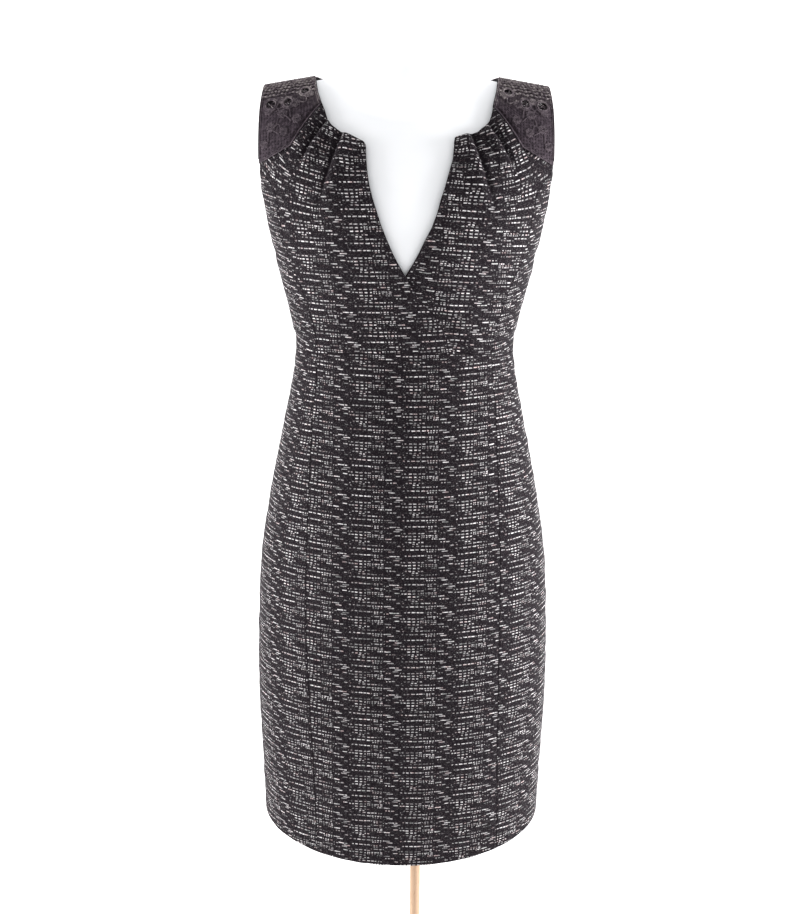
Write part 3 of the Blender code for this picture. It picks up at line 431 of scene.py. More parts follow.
class Panel:
    """A cut piece on rows and columns: its outer points, its normals, and where it lay when flat."""

    def __init__(self, left, right, run_of, step, relief, middle):
        """left and right are turns, one a row; run_of gives the runs of a grid of turns."""
        first = run_of(np.stack([left, right], axis=1))
        left = self.moved(left, first[:, 0], SEAM_GAP / 2)
        right = self.moved(right, first[:, -1], -SEAM_GAP / 2)
        width = np.maximum(way_round(left, right, first[:, 0]), 1e-5)
        left_way = unit(skin(left + TURN_NUDGE, first[:, 0]) - skin(left, first[:, 0]))
        right_way = unit(skin(right, first[:, -1]) - skin(right - TURN_NUDGE, first[:, -1]))
        left_slant = slant(skin(left, first[:, 0]), left_way)
        right_slant = slant(skin(right, first[:, -1]), right_way)
        near = np.array(ROLL_STEPS)
        widest_roll = width / 7
        left_roll = np.minimum(ROLL / left_slant, widest_roll)[:, None]
        right_roll = np.minimum(ROLL / right_slant, widest_roll)[:, None]
        inner = even_steps(0, 1, step / width.max())[None, 1:-1]
        ways = np.concatenate([
            left_roll * near,
            left_roll + (width[:, None] - left_roll - right_roll) * inner,
            width[:, None] - right_roll * near[::-1],
        ], axis=1)
        self.turn = left[:, None] + (right - left)[:, None] * ways / width[:, None]
        self.run = run_of(self.turn)
        base = skin(self.turn, self.run)
        self.normals = outward(self.turn, self.run)
        self.height = height_at(self.run)
        self.points = base + self.normals * relief(base[..., 0], self.height)[..., None]
        row_steps = length(np.diff(base, axis=1))
        self.from_left = np.concatenate([np.zeros((len(base), 1)), np.cumsum(row_steps, axis=1)], axis=1)
        from_right = self.from_left[:, -1:] - self.from_left
        column_steps = length(np.diff(base, axis=0))
        from_bottom = np.concatenate([np.zeros((1, base.shape[1])), np.cumsum(column_steps, axis=0)])
        from_top = from_bottom[-1:] - from_bottom
        self.column_drop = np.maximum(
            drop(self.from_left * left_slant[:, None]), drop(from_right * right_slant[:, None])
        )
        self.row_drop = np.maximum(drop(from_bottom), drop(from_top))
        start = way_round(np.full_like(left, middle), self.turn[:, 0], self.run[:, 0])
        self.flat = np.stack([start[:, None] + self.from_left, climb(self.turn, self.run)], axis=-1)

    @staticmethod
    def moved(turn, run, distance):
        """An edge moved this far square to itself, around the dress."""
        steepest = 2.0
        speed = length(skin(turn + TURN_NUDGE, run) - skin(turn - TURN_NUDGE, run)) / (2 * TURN_NUDGE)
        lean = np.gradient(turn, run) * speed
        return turn + distance * np.sqrt(1 + np.minimum(lean**2, steepest**2)) / speed


Turning = namedtuple("Turning", "seam depth reach")  # seam is 1 where sewn, and 0 where turned under


def turned_lines(points, normals, fall, cross_fall, turning):
    """The lines past an edge. Line 0 of each grid is the edge, and the others follow inwards.

    A sewn edge goes straight in, and an edge that is turned under comes back below the panel."""
    way = np.cumsum(length(np.diff(points, axis=0)), axis=0)
    deep = int(np.searchsorted(np.median(way, axis=1), turning.reach)) + 1
    rolled = len(ROLL_STEPS) - 1
    deep = max(deep, rolled + 2)
    inner = [rolled + round((deep - rolled) * k / 2) for k in (1, 2)]
    picked = list(range(1, rolled + 1)) + inner
    picked = [min(k, len(points) - 1) for k in picked]
    seam = turning.seam[:, None]
    lines = []
    for step, k in enumerate(picked, start=1):
        under = np.maximum(2 * ROLL - fall[k], cross_fall[k])
        sewn = np.maximum(ROLL + turning.depth * step / len(picked), cross_fall[0])
        turned_place = points[k] - normals[k] * under[:, None]
        sewn_place = points[0] - normals[0] * sewn[:, None]
        lines.append(sewn_place * seam + turned_place * (1 - seam))
    return np.array(lines), picked


def from_edge(side, grid):
    """A panel's grid, turned so that line 0 is its edge on this side and the others follow inwards."""
    if side in ("left", "right"):
        grid = np.swapaxes(grid, 0, 1)
    return grid[::-1] if side in ("right", "top") else grid


def piece_mesh(panel, edges, flat):
    """The panel with its four edges turned in: left, right, bottom and top.

    Gives the points, their flat places, and the shade painted on each where it is out of the light in a
    seam's groove."""
    rows, columns = panel.turn.shape
    depth_of = np.maximum(panel.column_drop, panel.row_drop)
    face = panel.points - panel.normals * depth_of[..., None]
    extra = TURNING_STEPS
    points = np.full((rows + 2 * extra, columns + 2 * extra, 3), np.nan)
    places = np.full((rows + 2 * extra, columns + 2 * extra, 2), np.nan)
    groove = np.ones(points.shape[:2])
    core = (slice(extra, extra + rows), slice(extra, extra + columns))
    points[core] = face
    places[core] = flat
    # Painted shade: full on a rolled edge and its turnings, and gone where the roll ends.
    rolled = np.sqrt(np.clip(1 - (1 - depth_of / ROLL) ** 2, 0, 1))
    groove[core] = 1 - (1 - rolled) ** 2
    for side, turning in zip(("left", "right", "bottom", "top"), edges):
        upright = side in ("left", "right")
        first = side in ("left", "bottom")
        own, cross = (panel.column_drop, panel.row_drop) if upright else (panel.row_drop, panel.column_drop)
        grids = [from_edge(side, grid) for grid in (panel.points, panel.normals, own, cross)]
        lines, picked = turned_lines(*grids, turning)
        flat_grid = from_edge(side, flat)
        flat_lines = np.array([flat_grid[0] + (flat_grid[0] - flat_grid[k]) for k in picked])
        past_edge = slice(0, extra) if first else slice(extra + (columns if upright else rows), None)
        for grid, added in ((points, lines), (places, flat_lines)):
            added = added[::-1] if first else added
            if upright:
                grid[core[0], past_edge] = np.swapaxes(added, 0, 1)
            else:
                grid[past_edge, core[1]] = added
    return points, places, groove


def cloth_object(name, points, places, thickness, material, redraw=None, shade=None, kept=None):
    """A shell through the points that are there, with its flat places as UV.

    shade is painted shade, 1 where the cloth dips out of the light, and goes on the mesh as its crease
    attribute. kept says which cells of the grid are cloth."""
    dress_points = points
    points = points + np.array([MIDDLE_X, 0, 0])
    there = ~np.isnan(points[..., 0])
    number = np.cumsum(there).reshape(there.shape) - 1
    corners = [(0, 0), (0, 1), (1, 1), (1, 0)]
    height, width = there.shape
    whole = np.ones((height - 1, width - 1), bool) if kept is None else kept.copy()
    loops = []
    for r, c in corners:
        part = (slice(r, height - 1 + r), slice(c, width - 1 + c))
        whole &= there[part]
    for r, c in corners:
        part = (slice(r, height - 1 + r), slice(c, width - 1 + c))
        loops.append((number[part][whole], places[part][whole]))
    faces = np.stack([index for index, _ in loops], axis=1)
    flat = np.stack([place for _, place in loops], axis=1)
    if redraw is not None:
        flat = redraw(flat, dress_points[there][faces])
    mesh = bpy.data.meshes.new(name)
    mesh.from_pydata(points[there].tolist(), [], faces.tolist())
    layer = mesh.uv_layers.new(name="cloth")
    layer.data.foreach_set("uv", flat.astype(np.float32).ravel())
    # The painted shade is stored for the colour as the crease attribute.
    if shade is not None:
        depth = mesh.attributes.new("crease", "FLOAT", "POINT")
        depth.data.foreach_set("value", shade[there].astype(np.float32))
    mesh.shade_smooth()
    mesh.materials.append(material)
    thing = new_object(name, mesh)
    wall = thing.modifiers.new("thickness", "SOLIDIFY")
    wall.thickness = thickness
    wall.offset = -1
    return thing


def cut_size(points):
    """Greatest width and length of a grid of points laid flat, and its area."""
    across = np.nansum(length(np.diff(points, axis=1)), axis=1).max()
    along = np.nansum(length(np.diff(points, axis=0)), axis=0).max()
    a, b = points[:-1, 1:] - points[:-1, :-1], points[1:, :-1] - points[:-1, :-1]
    area = np.nansum(length(np.cross(a, b)))
    return (float(across), float(along)), float(area)


# Where a piece's flat places lie on the length of cloth that it is cut from: each of the two is a sum
# of so much of the way across, so much of the way up, and a shift. Cloth that is eased over the bust
# has a little less than the whole of each.
Grain = namedtuple("Grain", "across up")
OVER_GRAIN = Grain((0.918, 0.130, 0.1398), (-0.028, 0.930, 0.0227))
UNDER_GRAIN = Grain((-0.851, 0.094, 0.0871), (-0.087, -0.946, -0.0124))


def turned_grain(degrees, across, up):
    cos, sin = math.cos(math.radians(degrees)), math.sin(math.radians(degrees))
    return Grain((cos, -sin, across), (sin, cos, up))


def lay_on_grain(flat, grain):
    """Flat places moved to where the piece was cut from the length of cloth."""
    rows = [row[0] * flat[..., 0] + row[1] * flat[..., 1] + row[2] for row in grain]
    return np.stack(rows, axis=-1)


def sew(name, panel, edges, grain, material, redraw=None):
    flat = lay_on_grain(panel.flat, grain)
    points, places, shade = piece_mesh(panel, edges, flat)
    # On the pleated fronts the painted shade also lies in the pleats' creases.
    if redraw is not None:
        shade = np.maximum(shade, pleat_shade(points))
    thing = cloth_object(name, points, places, TWEED_THICK, material, redraw, shade)
    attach(thing, "root")
    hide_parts(name.removesuffix("_cloth"))
    flat_size, area = cut_size(points)
    area = min(area, flat_size[0] * flat_size[1])
    return thing


def bodice_run(heights):
    """The runs of a bodice piece: the first rows follow the waist seam, the last stops at the ridge."""
    def run_of(turn):
        above_waist = 1 - ease((heights[:, None] - WAIST_SIDE_Z) / WAIST_EASE)
        lift = (waist_z(turn) - WAIST_SIDE_Z + SEAM_GAP / 2) * above_waist
        return np.minimum(run_at(heights)[:, None] + lift, TOP_RUN - RIDGE_GAP / 2)
    return run_of


def seam_depth(heights):
    """Turnings lie deep in the bodice and shallow over the shoulder, where the form is near."""
    at_shoulder = ease((heights - SHALLOW_FROM_Z) / SHALLOW_RISE)
    return SHOULDER_TURNING + (SEAM_TURNING - SHOULDER_TURNING) * (1 - at_shoulder)


# An edge of a piece: its turn at each height, where it is sewn and not turned under, and how deep.
PieceSide = namedtuple("PieceSide", "turn sewn depth")


def bodice_piece(name, heights, sides, step, relief, grain_turn, grain, material, redraw=None):
    """A piece of the bodice between its left and right side, from the waist seam up."""
    left, right = sides
    panel = Panel(left.turn, right.turn, bodice_run(heights), step, relief, grain_turn)
    rows, columns = panel.turn.shape
    sewn = np.ones(columns)
    edges = [Turning(np.ones(rows) * side.sewn, side.depth, EDGE_TURNING) for side in sides]
    edges.append(Turning(sewn, np.full(columns, SEAM_TURNING), EDGE_TURNING))
    edges.append(Turning(sewn, np.full(columns, SHOULDER_TURNING), EDGE_TURNING))
    return sew(name, panel, edges, grain, material, redraw)


# The rows of the weave lean where the pleats take cloth up, more outside each pleat. The lean begins
# a little below a pleat's foot and is whole near its top.
PLEAT_LEAN_DEGREES = (15.0, 16.0, 14.0)
LEAN_BELOW_FOOT = 0.030
LEAN_RISE = 0.075
LEAN_SPREAD = 0.7  # how fast the leaning part widens below a pleat's foot
OVER_RIDGE_Y = 0.02  # behind this the pieces are past the ridge, and their weave runs straight
SIDE_BODICE_TURN = math.radians(72)  # where the grain line of a side front lies


def pleated_grain(side, grain):
    """Turns the weave outside each pleat's crease, so that the rows break along it."""
    def redraw(flat, corners):
        x, height = side * corners[..., 0], corners[..., 2]
        middle_x = x.mean(axis=1, keepdims=True)
        middle_height = height.mean(axis=1, keepdims=True)
        front = corners[..., 1].mean(axis=1, keepdims=True) < OVER_RIDGE_Y
        drawn = flat.copy()
        for pleat, lean in zip(PLEATS, PLEAT_LEAN_DEGREES):
            line, _ = pleat_line(pleat, middle_height)
            below = pleat.foot_z - height
            spread = np.maximum(below, 1e-4) * LEAN_SPREAD
            outside = np.where(middle_height > pleat.foot_z, middle_x > line,
                               ease(0.5 + (x - pleat.foot_x) / (2 * spread)))
            foot_turn = turn_at(np.array([[side * pleat.foot_x]]), pleat.foot_z)
            foot_run = run_at(np.array([[pleat.foot_z]]))
            across = way_round(np.zeros(1), foot_turn[0], foot_run[0])[0]
            foot = lay_on_grain(np.array([across, climb(foot_turn, foot_run)[0, 0]]), grain)
            grow = ease((height - pleat.foot_z + LEAN_BELOW_FOOT) / LEAN_RISE)
            angle = np.radians(-side * lean) * grow * outside * front
            cos, sin = np.cos(angle), np.sin(angle)
            off = drawn - foot
            drawn = foot + np.stack([
                off[..., 0] * cos - off[..., 1] * sin, off[..., 0] * sin + off[..., 1] * cos,
            ], axis=-1)
        return drawn
    return redraw


def front_bodice(side, name, neck_edge, low_edge, relief, grain, material):
    heights = fine_heights(neck_edge, WAIST_SIDE_Z, NECK_POINT_Z, BODICE_STEP)
    deep = seam_depth(heights)
    neck_x = np.where(heights > V_POINT_Z, side * edge_x(neck_edge, heights), edge_x(low_edge, heights))
    seam = turn_at(edge_x(PRINCESS_SEAM, heights), heights)
    outer_turn = side * np.where(heights <= SIDE_TIP_Z, seam, armhole_turn(heights))
    inner = PieceSide(turn_at(neck_x, heights), 0, deep)
    outer = PieceSide(outer_turn, heights <= SIDE_TIP_Z, deep)
    sides = (outer, inner) if side < 0 else (inner, outer)
    redraw = pleated_grain(side, grain)
    return bodice_piece(name, heights, sides, BODICE_STEP, relief, 0.0, grain, material, redraw)


def side_bodice(side, name, grain, material):
    heights = fine_heights(PRINCESS_SEAM, WAIST_SIDE_Z, SIDE_TIP_Z, SIDE_STEP)
    deep = seam_depth(heights)
    inner = PieceSide(turn_at(edge_x(PRINCESS_SEAM, heights), heights) * side, 1, deep)
    outer = PieceSide(armhole_turn(heights) * side, heights <= UNDERARM_Z, deep)
    sides = (outer, inner) if side < 0 else (inner, outer)
    grain_turn = side * SIDE_BODICE_TURN
    return bodice_piece(name, heights, sides, SIDE_STEP, front_relief, grain_turn, grain, material)


def back_bodice(side, name, grain, material):
    heights = fine_heights(NECK_EDGE_BACK, WAIST_SIDE_Z, NECK_POINT_Z, SIDE_STEP)
    middle_turn = turn_at(edge_x(NECK_EDGE_BACK, heights), heights, back=True)
    side_turn = math.pi - armhole_turn(heights)
    if side < 0:
        middle_turn, side_turn = 2 * math.pi - middle_turn, 2 * math.pi - side_turn
    at_zip = heights <= NECK_EDGE_BACK[0].height
    inner = PieceSide(middle_turn, at_zip, np.full(len(heights), ZIP_TURNING))
    outer = PieceSide(side_turn, heights <= UNDERARM_Z, seam_depth(heights))
    sides = (outer, inner) if side > 0 else (inner, outer)
    return bodice_piece(name, heights, sides, SIDE_STEP, back_relief, math.pi, grain, material)


def drift(heights):
    return HEM_DRIFT * np.clip((DRIFT_START_Z - heights) / (DRIFT_START_Z - DRIFT_END_Z), 0, 1)


def left_skirt_seam(heights):
    return drift(heights) - edge_x(SKIRT_SEAM, heights)


def right_skirt_seam(heights):
    return drift(heights) + edge_x(SKIRT_SEAM, heights)


ZIP_TOP_Z = 1.371
ZIP_BOTTOM_Z = 0.830
ZIP_END = 0.020  # of its tape, below the last tooth
LEFT_SIDE = -math.pi / 2
RIGHT_SIDE = math.pi / 2
ZIP_LINE = math.pi
LEFT_SIDE_FROM_BACK = 1.5 * math.pi
SIDE_FRONT_TURN = math.radians(62)


def skirt_panel(name, left, right, grain_turn, grain, material):
    """A side is a front seam, as a function that gives its x at each height, or one turn all the way."""
    drop_z = WAIST_SIDE_Z - HEM_SIDE_Z
    near = np.array(ROLL_STEPS) * ROLL / drop_z
    inner = even_steps(0, 1, SKIRT_STEP / drop_z)[1:-1]
    level = np.concatenate([near, inner, 1 - near[::-1]])
    heights = HEM_SIDE_Z + drop_z * level
    turns = []
    for side in (left, right):
        turns.append(turn_at(side(heights), heights) if callable(side) else np.full_like(heights, side))

    def run_of(turn):
        bottom = hem_z(turn)
        return bottom + (waist_z(turn) - SEAM_GAP / 2 - bottom) * level[:, None]

    relief = back_relief if grain_turn == ZIP_LINE else front_relief
    panel = Panel(*turns, run_of, SKIRT_STEP, relief, grain_turn)
    rows, columns = panel.turn.shape
    beside_zip = np.where(heights > ZIP_BOTTOM_Z - ZIP_END, ZIP_TURNING, SEAM_TURNING)
    edges = []
    for side in (left, right):
        depth = beside_zip if side == ZIP_LINE else np.full(rows, SEAM_TURNING)
        edges.append(Turning(np.ones(rows), depth, EDGE_TURNING))
    edges.append(Turning(np.zeros(columns), np.zeros(columns), HEM_TURNING))
    edges.append(Turning(np.ones(columns), np.full(columns, SEAM_TURNING), EDGE_TURNING))
    return sew(name, panel, edges, grain, material)


# ------------------------------------------------------------------ shader maths
class Value:
    """A number on a node tree. An expression on it adds the Math nodes."""

    def __init__(self, finish, socket):
        self.finish = finish
        self.socket = socket

    def math(self, operation, *others, first=None):
        node = self.finish.nodes.new("ShaderNodeMath")
        node.operation = operation
        terms = ([self] if first is None else [first, self]) + list(others)
        for socket, term in zip(node.inputs, terms):
            self.finish.feed(socket, term)
        return Value(self.finish, node.outputs[0])

    def __add__(self, other):
        return self.math("ADD", other)

    def __sub__(self, other):
        return self.math("SUBTRACT", other)

    def __rsub__(self, other):
        return self.math("SUBTRACT", first=other)

    def __mul__(self, other):
        return self.math("MULTIPLY", other)

    def __truediv__(self, other):
        return self.math("DIVIDE", other)

    __radd__ = __add__
    __rmul__ = __mul__

    def fraction(self):
        return self.math("FRACT")

    def size(self):
        return self.math("ABSOLUTE")

    def wave(self, pitch):
        return (self / pitch * (2 * math.pi)).math("SINE")

    def limited(self):
        """This value, cut off at 0 and at 1."""
        same = self.math("MULTIPLY", 1.0)
        same.socket.node.use_clamp = True
        return same

    def between(self, low, high, start=0.0, end=1.0, soft=True):
        """This value's way from low to high, mapped to start and end."""
        node = self.finish.nodes.new("ShaderNodeMapRange")
        node.interpolation_type = "SMOOTHSTEP" if soft else "LINEAR"
        for socket, term in zip(node.inputs, (self, low, high, start, end)):
            self.finish.feed(socket, term)
        return Value(self.finish, node.outputs[0])


class Finish:
    """A material and the nodes added to it."""

    def __init__(self, name, roughness, metallic=0.0):
        self.material = bpy.data.materials.new(name)
        self.material.use_nodes = True
        self.nodes = self.material.node_tree.nodes
        self.links = self.material.node_tree.links
        self.shader = self.nodes["Principled BSDF"]
        self.shader.inputs["Roughness"].default_value = roughness
        self.shader.inputs["Metallic"].default_value = metallic

    def feed(self, socket, term):
        if isinstance(term, Value):
            self.links.new(term.socket, socket)
        elif isinstance(term, (tuple, list)) and len(term) == 3 and len(socket.default_value) == 4:
            socket.default_value = (*term, 1.0)
        else:
            socket.default_value = term

    def node(self, kind, settings=None, sockets=None, output=0):
        """A node of this type. Its settings are set first, then the values or links of its sockets."""
        node = self.nodes.new(kind)
        for name, setting in (settings or {}).items():
            if name == "stops":
                self.set_stops(node.color_ramp, setting)
            else:
                setattr(node, name, setting)
        for name, term in (sockets or {}).items():
            self.feed(node.inputs[name], term)
        return Value(self, node.outputs[output])

    @staticmethod
    def set_stops(ramp, stops):
        """Stops are (place, grey level or colour), from left to right."""
        while len(ramp.elements) < len(stops):
            ramp.elements.new(1.0)
        for element, (place, level) in zip(ramp.elements, stops):
            element.position = place
            element.color = (*level, 1.0) if isinstance(level, tuple) else (level, level, level, 1.0)

    def colours(self, share, first, second, blend="MIX"):
        settings = {"data_type": "RGBA", "blend_type": blend, "clamp_factor": True}
        return self.node("ShaderNodeMix", settings, {0: share, 6: first, 7: second}, output=2)

    def object_place(self):
        return self.node("ShaderNodeTexCoord", output="Object")

    def noise(self, place, scale, detail=2.0, roughness=0.5, distortion=0.0):
        sockets = {
            "Vector": place, "Scale": scale, "Detail": detail, "Roughness": roughness,
            "Distortion": distortion,
        }
        return self.node("ShaderNodeTexNoise", {"noise_dimensions": "3D"}, sockets)

    def point(self, x, y, z=0.0):
        return self.node("ShaderNodeCombineXYZ", {}, {"X": x, "Y": y, "Z": z})

    def parts(self, vector):
        node = self.nodes.new("ShaderNodeSeparateXYZ")
        self.feed(node.inputs[0], vector)
        return [Value(self, output) for output in node.outputs]

    def bump(self, height, distance, strength=1.0):
        sockets = {"Height": height, "Distance": distance, "Strength": strength}
        return self.node("ShaderNodeBump", {}, sockets)

    def set(self, **sockets):
        for name, term in sockets.items():
            self.feed(self.shader.inputs[name.replace("_", " ").title().replace("Ior", "IOR")], term)


# ------------------------------------------------------------------ the tweed's weave
# One repeat, charted in millimetres. Each weave row lies so far down from the first one, and
# its light floats are written as (start, end, level) across, to half a millimetre.
REPEAT_ACROSS = 64.0
REPEAT_DOWN = 35.5
CHART_TOP = 2.0
WeaveRow = namedtuple("WeaveRow", "down thick floats")
WEAVE = (
    WeaveRow(0.0, 1.5, (
        (8, 10, 0.8), (12, 15, 0.9), (17, 21.5, 1.0), (23, 26, 1.0), (27, 31, 1.0),
        (32.5, 33.5, 0.6), (35.5, 37.5, 0.9), (39, 40.5, 0.9), (43, 45.5, 0.45),
    )),
    WeaveRow(0.8, 1.4, ((54, 61.5, 0.95), (62.5, 65.5, 0.9))),
    WeaveRow(2.2, 1.3, ((35.5, 37.5, 0.8), (39, 40.5, 0.8), (47.5, 48.5, 0.6), (50.5, 53, 0.6))),
    WeaveRow(3.6, 1.3, ((61, 69, 0.8),)),
    WeaveRow(5.8, 1.4, (
        (32.5, 33.5, 0.5), (36, 41.5, 0.55), (43, 45.5, 0.7), (47.5, 48.5, 0.7), (58.5, 65.5, 0.5),
    )),
    WeaveRow(8.0, 1.4, (
        (3.5, 4.5, 0.6), (6.5, 8.5, 0.6), (12, 15.5, 0.7), (17, 21, 0.7), (23.5, 26, 0.7),
        (27.5, 31, 0.7), (43, 45, 0.6), (50.5, 52, 0.5), (54, 56, 0.5),
    )),
    WeaveRow(10.9, 1.3, (
        (27.5, 29, 0.85), (30, 31, 0.85), (33, 34.5, 0.85), (36, 39.5, 0.85), (40.5, 42, 0.85),
        (44, 46.5, 0.85), (60.5, 66, 1.0),
    )),
    WeaveRow(11.7, 1.5, (
        (4.5, 6.5, 0.75), (8, 10.5, 0.8), (12, 15.5, 1.0), (18, 21, 0.95), (24, 25.5, 0.8),
    )),
    WeaveRow(12.9, 1.3, (
        (27.5, 28.5, 0.8), (30, 31, 0.8), (33, 34.5, 0.85), (36.5, 38, 0.85), (40.5, 42, 0.85),
        (43.5, 46.5, 0.8),
    )),
    WeaveRow(15.3, 1.5, (
        (12, 15.5, 1.0), (18, 21, 0.95), (23, 25.5, 0.8), (33.5, 34.5, 0.4), (40, 41.5, 0.8),
        (42.5, 44.5, 0.9), (45.5, 46.5, 0.6), (48.5, 56, 0.9),
    )),
    WeaveRow(19.0, 1.5, (
        (8.5, 10.5, 0.45), (12.5, 15.5, 0.75), (17.5, 20, 0.75), (24, 25.5, 0.8), (27.5, 30, 0.75),
        (50.5, 52, 0.8), (54, 56, 0.75), (57.5, 61.5, 0.5),
    )),
    WeaveRow(21.1, 1.3, ((5, 6, 0.5), (17, 19.5, 0.95), (21.5, 23.5, 1.0))),
    WeaveRow(23.7, 1.4, (
        (6, 7.5, 0.35), (16.5, 18.5, 0.5), (21.5, 25, 0.55), (27.5, 31, 0.75), (32.5, 36, 0.75),
        (37, 39, 0.75), (41.5, 42.5, 0.6), (44.5, 46, 0.6), (62.5, 66.5, 0.5),
    )),
    WeaveRow(28.1, 1.5, (
        (5, 7, 0.75), (10, 12.5, 0.75), (14.5, 19, 1.0), (20.5, 24.5, 0.65), (27, 31.5, 0.95),
        (33, 35, 0.9), (37, 38.5, 0.9), (40, 42.5, 1.0), (44, 45.5, 1.0), (47.5, 49, 1.0),
        (49.5, 56, 0.65),
    )),
    WeaveRow(30.5, 1.4, (
        (34, 35.5, 0.95), (37, 38.5, 0.8), (40, 41.5, 0.7), (44, 45, 0.8), (52, 59.5, 0.7),
    )),
)
GROUND = (0.0084, 0.0063, 0.0082)
FLOAT_LIGHT = (0.80, 0.77, 0.785)
FLOAT_WARM = (0.63, 0.49, 0.49)
FLOAT_GREY = (0.41, 0.42, 0.415)
CHART_SCALE = 1000.0  # millimetres to the metre
ROW_WANDER = 0.9  # how far the weave's rows rise and fall
END_TREMBLE = 0.8  # how uneven the ends of the floats are
FLOAT_INNER = 0.35  # a float's edge is soft from this far inside it
FLOAT_OUTER = 0.05  # to this far outside
RIB_PITCH = 0.92
THREAD_PITCH = 0.62


def float_stops(floats):
    """A ramp's stops for one weave row; a float that passes the repeat's end goes on at its start."""
    spans = []
    for start, end, level in floats:
        spans.append((start, min(end, REPEAT_ACROSS), level))
        if end > REPEAT_ACROSS:
            spans.append((0.0, end - REPEAT_ACROSS, level))
    stops = [(0.0, 0.0)]
    for start, end, level in sorted(spans):
        stops += [(start / REPEAT_ACROSS, level), (end / REPEAT_ACROSS, 0.0)]
    return stops[1:] if stops[1][0] == 0.0 else stops


def tweed():
    finish = Finish("jacquard tweed", 0.88)
    place = finish.node("ShaderNodeUVMap", {"uv_map": "cloth"})
    u, v, _ = finish.parts(place)
    across, down = u * CHART_SCALE, v * -CHART_SCALE

    def uneven(wide, high, detail=1.0, layer=0.0):
        """Noise in patches of about this width and height."""
        return finish.noise(finish.point(across / wide, down / high, layer), 1.0, detail)

    wander = finish.noise(finish.point(across, down), 0.16, 1.0)
    wobble = (wander - 0.5) * ROW_WANDER
    tremble = (finish.noise(finish.point(across, down), 0.9, 1.0) - 0.5) * END_TREMBLE
    x = ((across + tremble) / REPEAT_ACROSS).fraction()
    y = ((down + wobble + CHART_TOP) / REPEAT_DOWN).fraction() * REPEAT_DOWN
    floats = 0.0
    for row in WEAVE:
        ramp = finish.node("ShaderNodeValToRGB", {"stops": float_stops(row.floats)}, {"Fac": x})
        ramp.socket.node.color_ramp.interpolation = "CONSTANT"
        off = (y - (row.down + CHART_TOP)).size()
        seen = off.between(row.thick / 2 - FLOAT_INNER, row.thick / 2 + FLOAT_OUTER, 1.0, 0.0)
        floats = ramp * seen + floats
    floats = floats.limited()
    patchy = uneven(26.0, 3.4).between(0.36, 0.64, 0.28, 1.10, soft=False)
    fine = uneven(2.2, 1.3, 2.0).between(0.30, 0.58, 0.35, 1.1)
    specks = uneven(1.9, 0.75, layer=3.0).between(0.57, 0.68, 0.0, 0.10)
    light = (floats * patchy * fine + specks).limited()
    ribs = down.wave(RIB_PITCH)
    threads = across.wave(THREAD_PITCH)
    twist = uneven(0.5, 0.4, 2.0)
    ground_level = twist.between(0.2, 0.8, 0.65, 1.6, soft=False) + ribs * 0.14 + threads * 0.08
    ground_grey = finish.point(ground_level, ground_level, ground_level)
    ground = finish.colours(1.0, GROUND, ground_grey, "MULTIPLY")
    tint = uneven(9.0, 4.0, layer=7.0)
    yarn = finish.colours(tint.between(0.52, 0.72), FLOAT_LIGHT, FLOAT_WARM)
    yarn = finish.colours(tint.between(0.48, 0.30), yarn, FLOAT_GREY)
    # Painted shade: where the crease attribute is 1, in creases and along seams, the floats give way to the
    # dark ground.
    crease = finish.node("ShaderNodeAttribute", {"attribute_name": "crease"}, output="Fac")
    open_to_light = 1.0 - crease
    colour = finish.colours(light * open_to_light, ground, yarn)
    raised = floats * 0.6 + ribs * 0.10 + threads * 0.06 + twist * 0.25
    finish.set(base_color=colour, normal=finish.bump(raised, 0.00030, 0.8))
    finish.set(sheen_weight=0.065, sheen_roughness=0.30, sheen_tint=(0.80, 0.77, 0.79))
    finish.set(specular_ior_level=0.03)
    return finish.material


# ------------------------------------------------------------------ other finishes
# Painted light: the lace is greyer and lighter near the ridge of the shoulder, as if lit from above.
LACE_PAINTED_LIGHT_FROM = 1.388
LACE_PAINTED_LIGHT_TO = 1.412


def lace_finish(name, base, light, metal_wear_and_lace_light, sheen):
    finish = Finish(name, 0.85)
    place = finish.object_place()
    mottle = finish.noise(place, 260.0, 3.0)
    thread = finish.noise(place, 1500.0, 2.0)
    _, _, height = finish.parts(place)
    # Painted light near the ridge: the colour goes over to the palest tones there.
    painted_ridge_light = (height + (mottle - 0.5) * 0.03).between(LACE_PAINTED_LIGHT_FROM, LACE_PAINTED_LIGHT_TO)
    plain = finish.colours(mottle.between(0.35, 0.65), base, light)
    painted_light_colour = finish.colours(mottle.between(0.35, 0.65), light, metal_wear_and_lace_light)
    colour = finish.colours(painted_ridge_light, plain, painted_light_colour)
    colour = finish.colours(thread.between(0.40, 0.7, 0.0, 0.6), colour, tuple(c * 0.35 for c in base))
    finish.set(base_color=colour, normal=finish.bump(thread + mottle * 0.5, 0.0003, 1.0))
    finish.set(sheen_weight=sheen, sheen_roughness=0.4, sheen_tint=(0.85, 0.78, 0.84))
    finish.set(specular_ior_level=0.06)
    return finish.material


def jersey():
    finish = Finish("white jersey cover", 0.72)
    place = finish.object_place()
    cloud = finish.noise(place, 9.0, 2.0)
    loops = finish.noise(place, 2400.0, 1.0)
    colour = finish.colours(cloud, (0.86, 0.87, 0.89), (0.89, 0.90, 0.92))
    finish.set(base_color=colour, normal=finish.bump(loops + cloud * 0.2, 0.00008, 0.6))
    finish.set(sheen_weight=0.1)
    return finish.material


